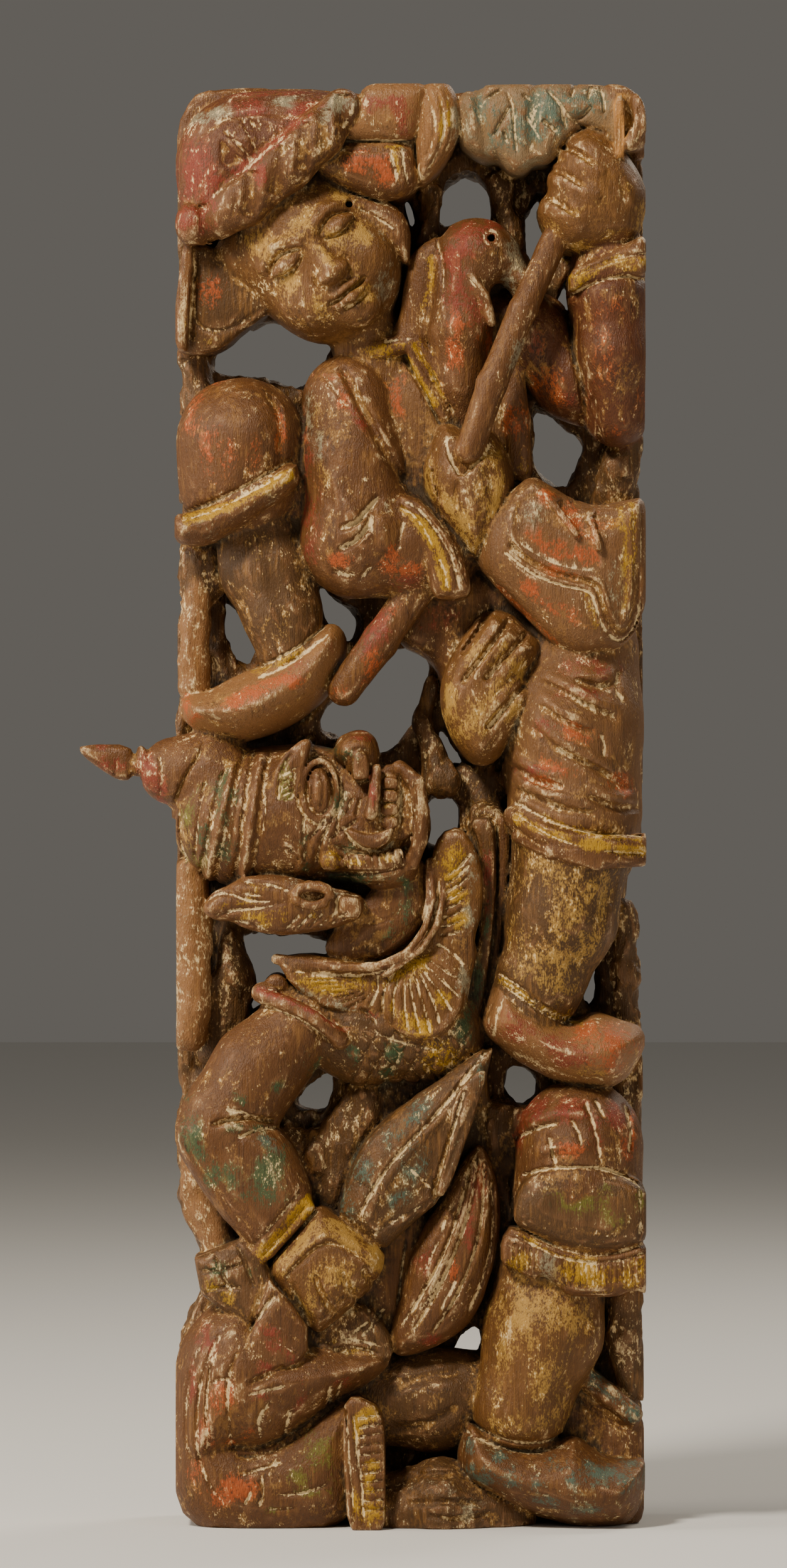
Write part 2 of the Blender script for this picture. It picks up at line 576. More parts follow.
def helmet_ornaments():
    outline = [
        (-86, 259), (-82, 264), (-76, 266.5), (-70, 270), (-60, 271), (-50, 270), (-36, 266), (-25, 264),
        (-20, 262), (-20, 256), (-23, 252), (-30, 250), (-36, 248), (-50, 246), (-61, 246.5), (-70, 249),
        (-75, 252), (-81, 252), (-86, 255),
    ]
    plate("ornament", outline, -31, edge=3, puff=3, reach=7, rounds=1)
    spiral = [(-41 + 7 * math.cos(a), -35.5, 262.5 + 4 * math.sin(a)) for a in np.linspace(0, 5.4, 10)]
    band("ornament", 2.2, spiral, blend=0.6)
    plate("ornament", [(-30, 254), (-30, 263), (-21, 262), (-21, 254), (-25, 253)], -36.5, edge=1.5, rounds=1)
    limb("spear", [(-84, -6, 314, 18), (-99, -6, 314, 14)], blend=4)
    limb("spear", [(-99, -6, 313, 14), (-106, -6, 313, 6)], blend=3)
    ball("spear", (-110, -6, 314), (3.6, 9.5, 11), lean=-16)
    limb("spear", [(-110, -6, 316, 4.5), (-120, -6, 317, 4.5)])
    point = [(-138.5, 325), (-138, 321), (-130, 315), (-122, 310), (-117, 310), (-116, 316), (-117, 325)]
    plate("spear", point, -11, -1, edge=3.5, rounds=1)


def collar():
    limb("neck_low", [(-12, 2, 266, 17), (-8, 2, 245, 17), (-6, 3, 222, 20)])
    breast = [
        (-38, 238), (-30, 252), (-18, 264), (-6, 276), (7, 278), (8, 256), (0, 244), (-10, 236),
        (-24, 232),
    ]
    plate("neck_low", breast, -19, edge=4, puff=3)
    limb("waist", [(-48, -6, 211, 16), (-20, -4, 204, 20), (10, -4, 205, 20), (22, 2, 228, 12)])
    ribbon = [
        (8, 278), (12, 288), (20, 291), (27, 282), (30, 268), (29, 254), (26, 245), (27, 238), (25, 230),
        (24, 222), (19, 210), (13, 203), (7, 200), (0, 203), (-8, 207), (-14, 214), (-24, 213),
        (-34, 215), (-44, 221), (-52, 228), (-56, 236), (-44, 238), (-30, 236), (-14, 234), (-2, 239),
        (4, 247), (8, 260),
    ]
    plate("collar", ribbon, -23, edge=2.5, puff=2, rounds=1)
    fan = [
        (-13, 226), (-12, 213), (-6, 206), (1, 202), (8, 201.5), (15, 206), (20, 215), (23, 227),
        (14, 239), (4, 238), (-6, 230),
    ]
    plate("collar", fan, -26, edge=2, puff=2, rounds=1)
    outer = [
        (-56, -20, 236), (-34, -24, 233), (-14, -28, 233), (-2, -28, 239), (5, -27, 249), (8, -25, 261),
        (8, -21, 276),
    ]
    inner = [(-24, -20, 231), (-10, -28, 231), (3, -29, 240), (10, -27, 250), (13, -24, 262), (12, -20, 276)]
    band("collar_roll", 2.3, outer, blend=0.4)
    band("collar_roll", 2.0, inner, blend=0.4)


def bent_lower_arm():
    limb("lower_sleeve", [(-46, -9, 208, 17), (-64, -12, 190, 18.5), (-77, -15, 168, 20.5)], 1.03, blend=1.0)
    flat_part = [
        (-98, 170), (-98, 158), (-92, 148), (-84, 136), (-76, 126), (-67, 116), (-61, 110), (-51, 121),
        (-41, 134), (-42, 142), (-46, 152), (-51, 161), (-58, 168), (-70, 173), (-86, 174),
    ]
    plate("lower_sleeve", flat_part, -28, edge=5, puff=7, reach=14, blend=2.5, rounds=1)
    band("shoulder_hem", 4.4, [(-62, -16, 222), (-52, -24, 217), (-40, -27, 211), (-30, -24, 203)], blend=0.6)
    plate("shoulder_hem", [(-64, 220), (-60, 229), (-54, 230), (-50, 224), (-56, 218)], -18, edge=3)
    plate("lower_cuff", [(-67, 116), (-61, 108), (-39, 132), (-44, 139)], -31, edge=2.5, puff=1, rounds=1)
    hand = [
        (-61, 109), (-50, 121), (-41, 132), (-37, 134), (-26, 126), (-11, 115), (-12, 106), (-20, 96),
        (-30, 87), (-38, 80), (-44, 85), (-52, 94),
    ]
    plate("fist_low", hand, -27, edge=4, puff=9, reach=13, blend=0.8, rounds=1)


def blade():
    leaf = [
        (-31, 128), (-28, 140), (-25, 150), (-19, 161), (-10, 170), (10, 185), (35, 202), (31, 188),
        (22, 160), (13, 137), (-2, 124), (-13, 114),
    ]
    plate("blade", leaf, -24, 6, edge=3, puff=7, reach=17, rounds=1)
    plate("blade", [
        (18, 180), (27, 190), (32, 190), (22, 160), (14, 138), (9, 138), (14, 158),
    ], -33, 6, edge=2, rounds=1)
    grip = [(-90, 112), (-70, 120.5), (-60, 111), (-55, 98), (-67, 81), (-78, 90), (-87, 97)]
    plate("hilt", grip, -27, edge=3, puff=3, reach=8, rounds=0)
    pommel = [
        (-59, 104), (-49, 93), (-43, 84), (-43, 74), (-48, 68), (-58, 64), (-68, 61), (-70, 70),
        (-67, 82),
    ]
    plate("pommel", pommel, -34, edge=2.5, puff=1.5, rounds=0)


def lower_body():
    waist = [
        (-34, 208), (30, 208), (34, 160), (22, 126), (-16, 124), (-18, 150), (-17, 170), (-20, 184),
        (-28, 196),
    ]
    plate("scales", waist, -4, edge=3)
    lap = [(-24, 132), (8, 136), (6, 110), (0, 84), (-10, 66), (-46, 64), (-48, 88)]
    plate("lower_lap", lap, -8, edge=4, puff=4)
    plate("belt", [
        (-45, 84), (-48, 74), (-36, 66), (-20, 64), (-8, 68), (-8, 80), (-20, 95),
    ], -19, edge=3, puff=3)
    cloth = [
        (28, 160), (33, 152), (36, 140), (37, 128), (36, 116), (33, 104), (29, 92), (23, 83), (14, 76),
        (4, 72), (-6, 70), (-10, 76), (-7, 88), (-3, 100), (-1, 112), (5, 124), (13, 138), (21, 152),
    ]
    plate("sash", cloth, -16, edge=5, puff=7, reach=14)
    inner_strip = [
        (27, 240), (30, 262), (28, 282), (24, 294), (34, 296), (36, 270), (34, 240), (31, 215), (25, 196),
        (18, 199), (24, 222),
    ]
    plate("strip", inner_strip, -13, edge=3, rounds=1)
    outer_strip = [
        (35, 298), (41, 292), (40, 262), (37, 240), (35, 222), (31, 204), (24, 198), (29, 215), (32, 240),
        (35, 268),
    ]
    plate("strip_edge", outer_strip, -10, edge=2.5, rounds=1)


def armoured_leg():
    limb("armour_knee", [(70, -6, 159, 26.5), (69, -8, 140, 27)], 1.12, blend=1.0)
    tier = [
        (50, 149), (43, 138), (42, 126), (54, 120), (72, 114), (88, 115), (98, 119), (98, 143), (84, 149),
        (66, 151),
    ]
    plate("tier", tier, -33, 12, edge=4, puff=5, reach=12)
    edge = [
        (42, 126), (37, 119), (37, 110), (43, 107), (50, 103), (54, 105), (60, 101), (64, 97), (74, 96),
        (84, 96), (92, 99), (98, 97), (98, 121), (80, 117), (60, 120),
    ]
    plate("fringe", edge, -31, 12, edge=2.5, puff=3, reach=8, rounds=1)
    limb("shaft_low", [(58, 0, 106, 23.5), (55, -5, 80, 24), (45, -9, 48, 20)], 1.1, blend=0.6)
    foot = [
        (24, 45), (21, 37), (19, 30), (20, 21), (25, 16), (33, 12), (42, 7), (52, 4), (62, 1), (70, -1),
        (82, -1), (90, 1), (95, 7), (98, 18), (98, 28), (90, 27), (81, 29), (74, 33), (68, 38), (60, 35),
        (50, 34), (40, 36), (32, 39),
    ]
    plate("boot_low", foot, -20, edge=9, puff=16, reach=17, blend=0.8)


def kneeling_leg():
    limb("low_calf", [(-16, 4, 52, 19), (10, 4, 51, 21), (32, 6, 54, 18)])
    skirt_part = [(-99, 60), (-99, -6), (-22, -6), (-20, 56), (-30, 54), (-40, 48), (-52, 40), (-70, 36)]
    plate("low_skirt", skirt_part, -20, edge=8, puff=11, reach=22, blend=0.8)
    thigh = [
        (-99, 30), (-99, 66), (-94, 80), (-84, 91), (-72, 95), (-60, 89), (-46, 80), (-30, 75), (-12, 74),
        (-8, 68), (-16, 60), (-29, 53), (-40, 44), (-52, 35), (-64, 30), (-74, 30), (-82, 24), (-92, 22),
    ]
    plate("low_thigh", thigh, -21, edge=9, puff=17, reach=27, blend=0.8)
    plate("strap", [
        (-26, -6), (-29, 50), (-24, 56), (-13, 50), (-11, 40), (-11, -6),
    ], -34, 10, edge=2, rounds=1)


def ground():
    limb("mound", [(-8, -6, 4, 17), (12, -8, 6, 20), (36, -4, 4, 16)], 1.1)
    rock = [(64, 72), (73, 67), (80, 61), (88, 55), (94, 48), (98, 40), (98, -6), (58, -6)]
    plate("rock", rock, -6, edge=5, puff=3)
    band("rock", 4.5, [(73, -8, 61), (82, -10, 54), (92, -8, 46)], blend=2)


def sculpt():
    for make in (
        struts, posts, infill, cap, upper_face, upper_head_cloth, top_cloth, canopy, bird, shawl, torso,
        raised_arm, skirt, raised_leg, bent_arm, staff, standing_leg, open_hand, guardian_head,
        guardian_face, helmet_ornaments, collar, lower_body, bent_lower_arm, armoured_leg, kneeling_leg,
        blade, ground,
    ):
        make()


def noise(cell, seed):
    """Smooth seeded noise on the whole grid, about -1 to 1, with bumps of the given size."""
    counts = [int(np.ceil((HIGH[i] - LOW[i]) / cell[i])) + 2 for i in range(3)]
    values = np.random.default_rng(seed).uniform(-1, 1, counts).astype(np.float32)
    for axis, grid in enumerate((GRID_X, GRID_Y, GRID_Z)):
        place_in = (grid - LOW[axis]) / cell[axis]
        first = place_in.astype(int)
        share = place_in - first
        share = (share * share * (3 - 2 * share)).astype(np.float32)
        share = share.reshape([-1 if i == axis else 1 for i in range(3)])
        values = np.take(values, first, axis) * (1 - share) + np.take(values, first + 1, axis) * share
    return values


def roughen():
    """The struts and the ground keep the marks of the adze; the figures are only slightly uneven."""
    rough = np.full(len(form_names), SMOOTH, np.float32)
    for name, amount in ROUGH.items():
        rough[form_number(name)] = amount
    strength = rough[owner]
    strength *= np.clip((BACK - GRID_Y[None, :, None]) / CALM_BACK, 0, 1)
    wood[...] += strength * noise(BROAD_MARK, 3)
    wood[...] += SMALL_SHARE * strength * noise(SMALL_MARK, 4)
    wood[...] += FINE_SHARE * np.maximum(strength - 1, 0) * noise(FINE_MARK, 5)


def front_surface():
    """How far back the foremost wood lies in each column of the grid, and whose it is."""
    solid = wood < 0
    first = solid.argmax(1)
    rows, columns = np.indices(first.shape)
    depth = GRID_Y[first] + wood[rows, first, columns]
    depth = np.where(solid.any(1), depth, OPEN)
    return depth.astype(np.float32), owner[rows, first, columns]


def softened(route):
    """A line with its corners cut off twice, still between the same ends."""
    points = np.array(route, float)
    for _ in range(2 if len(points) > 2 else 0):
        inner = cut_corners(points[:-1], points[1:], LINE_CUT)
        points = np.concatenate([points[:1], inner[1:-1], points[-1:]])
    return points


def route_distance(points, x, z):
    """The distance to a line in the X-Z plane, and how far along the line the nearest place is."""
    steps = np.hypot(*np.diff(points, axis=0).T)
    nearest = np.full(np.broadcast(x, z).shape, 1e9, np.float32)
    along = np.zeros(nearest.shape, np.float32)
    done = 0.0
    for (ax, az), (bx, bz), step in zip(points, points[1:], steps):
        share = np.clip(((x - ax) * (bx - ax) + (z - az) * (bz - az)) / (step * step), 0, 1)
        gap = np.hypot(x - ax - share * (bx - ax), z - az - share * (bz - az))
        closer = gap < nearest
        nearest = np.where(closer, gap, nearest)
        along = np.where(closer, (done + share * step) / steps.sum(), along)
        done += step
    return nearest, along


def numbers_of(forms):
    return [form_number(name) for name in forms.split()]


def flat_window(points, margin):
    low, high = points.min(0) - margin, points.max(0) + margin
    part, x, _, z = window((low[0], 0, low[1]), (high[0], 0, high[1]))
    return (part[0], part[2]), x[:, 0, :], z[:, 0, :]


def lines(forms, width, depth, routes, chalk=0.0, fade=0.12):
    """Cuts grooves into the front of some forms; a negative depth leaves ridges instead. chalk is
    how much of the pale ground shows along them."""
    for route in routes:
        points = softened(route)
        part, x, z = flat_window(points, width)
        gap, along = route_distance(points, x, z)
        ends = np.clip(np.minimum(along, 1 - along) / fade, 0, 1) ** 0.5 if fade else 1.0
        on = np.isin(front_form[part], numbers_of(forms))
        shape = depth * ends * np.clip(1 - (gap / (width / 2)) ** 2, 0, 1) ** 1.5
        stronger = on & (np.abs(shape) > np.abs(relief[part]))
        relief[part] = np.where(stronger, shape, relief[part])
        pale = on * chalk * ends * np.clip(CHALK_CORE - gap / (CHALK_WIDTH * width), 0, 1)
        chalked[part] = np.maximum(chalked[part], pale)


def hollow(forms, outline, depth, edge=2.0):
    """Sinks an area of some forms by depth; a negative depth raises it."""
    points = rounded(outline, 2)
    part, x, z = flat_window(points, 2)
    share = np.clip(-outline_distance(points, x, z) / edge, 0, 1)
    on = np.isin(front_form[part], numbers_of(forms))
    relief[part] += on * depth * share * share * (3 - 2 * share)


def ring(x, z, rx, rz):
    turns = np.linspace(0, 2 * math.pi, 17)
    return list(zip(x + rx * np.cos(turns), z + rz * np.sin(turns)))


def hatch(first, last, count):
    """Lines spread evenly from a first line to a last one of as many points."""
    first, last = np.array(first, float), np.array(last, float)
    return [first + (last - first) * i / (count - 1) for i in range(count)]


def carve_cap_and_cloth():
    hollow("cap", [(-81, 579), (-80, 560), (-66, 566)], 2.2, 3)
    hollow("cap", [(-71, 587), (-65, 570), (-53, 581)], 1.8, 3)
    lines("cap", 2.5, 1.4, [[(-78, 580), (-66, 567)], [(-71, 586), (-66, 575), (-64, 569)]], 0.3)
    lines("cap", 3, 1.0, [[(-90, 575), (-80, 583), (-66, 587), (-48, 585)]])
    twists = [
        [(-83, 533), (-86, 549)], [(-68, 543), (-65, 562)], [(-57, 552), (-52, 572)],
        [(-46, 562), (-43, 582)], [(-37, 571), (-36, 588)], [(-29, 580), (-28, 594)],
    ]
    lines("brim", 9, 2.2, twists, 0.05, fade=0.05)
    lines("brim", 2, 0.8, [
        [(-74, 542), (-72, 552)], [(-60, 553), (-56, 563)], [(-49, 563), (-46, 573)],
    ], 0.35)
    lines("cap brim", 2.4, 0.3, [[(-86, 548), (-72, 560), (-58, 572), (-46, 581)]], 0.55)
    lines("cloth brim", 4, 0.3, [[(-34, 573), (-28, 580), (-23, 589)]], 0.7)
    lines("flap", 2.5, 1.2, [[(-90, 520), (-91, 502), (-84, 496), (-72, 499), (-62, 507)]], 0.2)
    lines("flap flap_edge", 2, 1.4, [[(-89, 530), (-92, 505), (-92, 489)]], 0.5)
    lines("cloth cloth_fold", 2, 0.9, [[(-30, 575), (-14, 575.5), (0, 575)]], 0.9)
    lines("cloth_fold", 1.8, 0.8, [[(-32, 572), (-20, 570), (-10, 571)]], 0.3)
    lines("cloth_fold", 1.8, 1.0, [[(-9, 571), (-7, 563), (-5, 556)], [(-4, 572), (-3, 563), (-1, 556)]], 0.8)
    lines("cloth_fold cloth_turn", 2.4, 1.6, [[(1, 575), (2, 566), (4, 558)]], 1.0)
    curved = [
        [(5, 597), (9, 588), (10, 580), (8, 572), (4, 565)],
        [(9, 597), (13, 589), (14, 579), (11, 570), (6, 562)],
        [(13, 598), (17, 588), (17, 578), (14, 570)],
    ]
    lines("cloth_turn", 1.9, 1.1, curved, 0.55)


def carve_leaves():
    veins = [
        [(39, 597), (42, 590), (42.5, 580), (44, 569)], [(41, 590), (37, 583), (33, 576)],
        [(46, 595), (52, 589)], [(47, 586), (53, 576)], [(54, 584), (60, 579)], [(49, 575), (51, 570)],
        [(56, 597), (61, 591), (66, 584), (72, 581)], [(75, 590), (71, 585), (66, 584)],
        [(62, 590), (64, 580)], [(38, 597), (30, 592), (27, 587)], [(34, 572), (36, 567)],
        [(38, 580), (40, 574)], [(68, 599), (66, 593)], [(75, 598), (73, 592)],
        [(78, 598), (80, 592), (80, 586)],
    ]
    lines("leaves", 2.2, 2.2, veins, 0.5)
    lines("leaves", 7, 2.2, [[(27, 600), (29, 588), (31, 574), (31, 566)], [(52, 600), (50, 585), (50, 570)]])
    lines("leaves", 5, -0.8, [[(22, 596), (25, 584), (24, 574)], [(60, 586), (57, 576), (55, 568)]])
    lines("corner", 2, 1.2, [[(89, 590), (92, 583), (91, 575)], [(94, 590), (95, 580), (92, 572)]], 0.5)
    lines("splinter", 1.2, 0.8, [[(85.5, 590), (85, 570)], [(87, 586), (86.6, 570)]], fade=0)


def carve_raised_arm():
    grooves = [
        [(62, 573), (69, 570), (76, 564)], [(57, 564), (64, 561), (72, 555)],
        [(54, 553), (61, 549), (69, 543)],
    ]
    lines("fist_top", 4.0, 2.8, grooves, 0.12, fade=0.35)
    lines("fist_top", 9, -1.3, [
        [(60, 570), (70, 566), (80, 560)], [(58, 559), (68, 555), (78, 550)],
        [(55, 548), (64, 543), (72, 538)],
    ])
    lines("fist_top", 3, 0.9, [[(72, 578), (80, 574), (88, 566)], [(86, 560), (88, 548)]], 0.3)
    lines("cuff_top", 2, 1.3, [[(66, 518), (75, 522.5), (86, 526.5), (97, 528)]], 0.45, fade=0.02)
    lines("cuff_top forearm", 2.2, 1.6, [[(65, 511), (75, 516), (86, 519), (97, 518)]], 0.6, fade=0.02)
    lines("forearm upper_arm", 5, 2.6, [[(66, 508), (68, 486), (72, 468), (76, 454)]], fade=0.1)
    lines("forearm upper_arm", 3, 1.5, [[(75, 470), (77, 458), (80, 447)], [(70, 462), (76, 452)]], 0.2)


def carve_bird():
    lines("bird", 2.2, 1.3, [[(10, 535), (13, 527), (13.5, 512)], [(17, 544), (12, 536)]], 0.5)
    lines("bird", 1.8, 0.9, [[(22, 519), (29, 512), (32, 503)]], 0.7)
    lines("bird", 1.6, 0.8, [ring(33, 535, 3, 3)], 0.9, fade=0)


def face_route(places, middle=0.0, side=1):
    """A line on the upper face, from places across and up it."""
    return [on_face(middle + side * across, up, 0)[::2] for across, up in places]


def carve_face():
    for side in (-1, 1):
        eye = side * FACE_HALF_WIDTH * EYE_SHARE
        lines("face", 2.2, 1.6, [face_route([(-8, 1), (-4, -0.8), (0, -1.4), (4, -0.8), (8, 1)], eye)])
        lines("face", 1.8, 1.0, [face_route([(-8.5, 3), (-4, 6), (0, 7), (4, 6), (8.5, 3)], eye)], 0.2)
        lines("face", 2.6, 1.5, [face_route([(7.5, -9), (8.5, -13), (5.5, -16)], side=side)])
    smile = face_route([(-10, -21.5), (-5, -22.8), (0, -22.2), (5, -22.8), (10, -21.5)])
    lines("face", 2.6, 2.4, [smile])
    lines("face", 3, 1.4, [face_route([(-6, -27), (0, -28), (6, -27)])], 0.2)
    lines("headband", 1.8, 1.0, [
        [(-44, 560), (-30, 556), (-16, 551), (-4, 546)], [(-34, 551), (-18, 546), (-6, 538)],
    ], 0.5)


def carve_jacket():
    lines("neckband jacket", 2, 1.2, [[(-27, 487), (-15, 484.5), (-4, 485.5)]], 1.0)
    lines("neckband", 2, 0.9, [[(-12, 492), (-4, 493.5), (2, 493)]], 0.9)
    lapel = [[(1, 492), (8, 480), (15, 468), (18, 461)], [(-3, 486), (3, 475), (9, 464), (12, 457)]]
    lines("lapel jacket", 2.4, 2.4, lapel, 0.15)
    lines("lapel", 1.8, 1.6, [[(0, 489), (7, 478), (13, 468), (16, 461)]], 0.1)
    lines("jacket", 2, 0.8, [[(8, 495), (14, 485), (21, 470)]], 0.35)
    lines("sleeve jacket", 6, 2.8, [[(-29, 482), (-20, 464), (-12, 447), (-3, 433)]], fade=0.1)


def carve_sleeve():
    lines("sleeve", 2.2, 1.2, [[(-37, 479), (-30, 470), (-26, 464)], [(-30, 481), (-25, 472)]], 0.3)
    folds = [
        [(-30, 414), (-23, 416), (-18, 422), (-13, 428)],
        [(-30, 405), (-23, 409), (-18, 415), (-16, 422)],
    ]
    lines("sleeve", 4.4, 3.0, folds, 0.75, fade=0.25)
    lines("sleeve", 3, 1.5, [
        [(-16, 421), (-17, 412)], [(-3, 418), (-6, 404)], [(-33, 397), (-24, 394)],
        [(-22, 393), (-16, 399)],
    ], 0.7, fade=0.3)
    lines("sleeve", 9, -1.4, [[(-33, 438), (-28, 424), (-18, 410)], [(-12, 420), (-11, 404)]])
    cuff = [
        [(-5, 426), (4, 422), (12, 411), (17, 402), (20, 389)],
        [(-5, 423), (1, 420), (8, 409), (13, 398), (15, 388)],
    ]
    lines("sleeve_cuff", 2, 1.2, cuff, 0.7, fade=0.05)
    lines("sleeve_cuff", 1.8, 1.0, [[(4, 426), (13, 416), (19, 405), (22, 391)]], 0.6, fade=0.05)


def carve_hand_and_staff():
    lines("hand", 2.2, 1.0, [[(14, 453), (15, 444), (20, 436)], [(33, 450), (28, 442), (21, 436)]], 0.9)
    lines("hand", 3, 1.3, [
        [(19, 434), (18, 422)], [(30, 438), (34, 434), (31, 428)], [(10, 448), (8, 436), (13, 424)],
    ])
    lines("hand", 8, -1.2, [[(36, 446), (39, 432), (35, 412)], [(8, 444), (8, 430), (15, 414)]])
    lines("ribbon", 2, 1.0, [[(38, 462), (38, 448), (43, 434)]], 0.2)
    lines("staff", 1.6, 0.8, [[(-8, 385), (-6, 376), (-7, 370)]], 0.3)


def carve_skirt():
    inside = [
        (41, 424), (41, 406), (54, 398), (68, 394), (77, 393), (79, 386), (82, 376), (87, 371), (90, 377),
        (92, 388), (92, 424), (76, 421), (60, 428), (50, 433),
    ]
    hollow("skirt", inside, 1.8, 3)
    hem = [
        (40, 408), (48, 401), (60, 395), (76, 392), (78, 386), (81, 376), (87, 370), (91, 377), (93, 388),
        (93, 402),
    ]
    lines("skirt", 4.5, 3.2, [hem], fade=0.03)
    inner = [(44, 409), (51, 404), (61, 399), (76, 396)]
    outer = [
        (38, 405), (47, 397), (59, 391), (74, 388.5), (76, 382), (79, 373), (86, 366.5), (93, 374),
        (95, 386),
    ]
    lines("skirt", 2.0, 1.8, [inner, outer], 0.85, fade=0.03)
    lines("skirt", 1.7, 0.9,
          hatch([(71, 386), (72, 380), (75, 374)], [(75, 387), (77, 379), (79, 371)], 3), 0.3)
    lines("skirt", 10, -2.0, [[(54, 430), (62, 420), (70, 409)], [(72, 422), (76, 412), (78, 403)]])
    lines("skirt", 6, 1.8, [[(66, 426), (72, 414), (75, 404)], [(46, 428), (54, 416), (62, 408)]])
    lines("skirt", 1.8, 1.2,
          hatch([(84, 424), (86, 404), (87, 386)], [(95, 426), (95, 404), (95, 388)], 4), 0.5)
    lines("skirt lap", 3, 1.2, [[(36, 391), (48, 379), (60, 368)]], 0.3)


def carve_raised_leg():
    lines("knee_hem knee", 2.4, 1.6, [[(-97, 421), (-85, 424), (-70, 431), (-58, 438), (-49, 444)]], 0.5)
    lines("knee_hem", 1.6, 1.0, [[(-95, 417.5), (-85, 420), (-70, 427), (-52, 437)]], 0.8)
    lines("knee", 5, 1.4, [[(-60, 470), (-54, 462), (-55, 446), (-53, 440)]])
    lines("calf", 8, 1.0, [[(-60, 410), (-58, 390), (-50, 372)]])
    anklet = [
        [(-67, 356), (-56, 360), (-46, 366), (-36, 374)],
        [(-64, 352.5), (-54, 356), (-44, 363), (-34, 371)],
    ]
    lines("boot_left calf", 2.2, 1.5, anklet, 0.8, fade=0.04)
    lines("boot_left", 2, 0.7, [[(-90, 346), (-76, 350), (-66, 354)]], 0.2)


def carve_standing_leg():
    ridges = [
        [(52, 355), (62, 351), (74, 344), (85, 340)],
        [(50, 337), (58, 328), (68, 323), (80, 317), (89, 311)], [(41, 321), (50, 314), (62, 311)],
        [(42, 311), (52, 306), (64, 302), (76, 300)], [(52, 346), (62, 338), (75, 333)],
        [(66, 356), (76, 353), (84, 355)], [(72, 308), (82, 303), (94, 303)],
    ]
    lines("thigh", 7, -2.0, ridges, fade=0.35)
    under = [[(x + 1, z - 4.5) for x, z in route] for route in ridges]
    lines("thigh", 5, 1.9, under, 0.22, fade=0.3)
    lines("thigh", 3, 1.2, [[(78, 330), (80, 324), (79, 318)], [(86, 356), (84, 348), (88, 342)]], 0.6)
    hem = [
        [(43, 301), (50, 297), (62, 291), (76, 288), (96, 287)],
        [(44, 296), (52, 290), (62, 285), (76, 281), (96, 280)],
    ]
    lines("thigh thigh_hem", 2, 1.4, hem, 0.6, fade=0.03)
    lines("thigh_hem", 1.6, 1.0, [[(46, 298), (58, 291), (72, 287), (95, 284.5)]], 0.3)
    lines("shaft_right", 9, 1.2, [[(44, 286), (43, 262), (38, 236)], [(84, 272), (76, 250), (66, 232)]])
    anklet = [
        [(36, 230), (46, 224), (54, 217), (62, 212), (70, 211)],
        [(38, 225), (48, 218), (58, 211), (68, 208)], [(37, 227.5), (47, 221), (56, 214), (66, 210)],
    ]
    lines("boot_right shaft_right", 1.9, 1.4, anklet, 0.6, fade=0.04)
    lines("boot_right", 2, 1.2, [[(39, 221), (35, 212), (34, 203)]], 0.8)
    lines("boot_right", 2.2, 1.0, [[(36, 200), (48, 195), (60, 189), (74, 186), (88, 188)]], 0.3)


def carve_open_hand():
    fingers = [
        [(21, 362), (28, 372), (33, 382)], [(21, 350), (30, 362), (41, 377)],
        [(30, 351), (38, 361), (48, 371)], [(31, 331), (38, 340), (47, 350)],
    ]
    lines("open_hand", 4.2, 3.4, fingers, 0.25, fade=0.1)
    lines("open_hand", 2, 1.0, [[(33, 344), (42, 353), (50, 362)], [(16, 352), (18, 360)]], 0.3)
    lines("open_hand", 6, -1.2, [
        [(16, 350), (23, 364), (30, 377)], [(25, 352), (38, 371)], [(36, 352), (49, 366)],
    ])


def carve_helmet():
    ribs = [
        [(-73, 322), (-76, 308), (-80, 290), (-86, 264)],
        [(-62, 322), (-65, 304), (-67, 286), (-70, 270)],
    ]
    lines("helmet", 4.2, -2.2, ribs, fade=0.05)
    for gap in (-3.6, 3.6):
        lines("helmet", 2.6, 1.4, [[(x + gap, z) for x, z in route] for route in ribs], 0.3, fade=0.05)
    lines("helmet", 2.4, 1.2, [
        [(-84, 316), (-88, 298), (-90, 276)], [(-96, 300), (-96, 284), (-92, 272)],
        [(-71, 316), (-74, 296), (-77, 276)],
    ], 0.35)
    lines("helmet spear", 2.0, 2.2, [[(-86, 327), (-88, 320), (-93, 314), (-96, 307), (-99, 300)]], fade=0.2)
    lines("helmet", 2, 1.2, [[(-62, 316), (-60, 300), (-62, 286)], [(-52, 283), (-47, 280), (-46, 275)]], 0.5)
    lines("helmet", 4, -1.4, [[(-54, 284), (-48, 282), (-45, 276), (-48, 271)]])


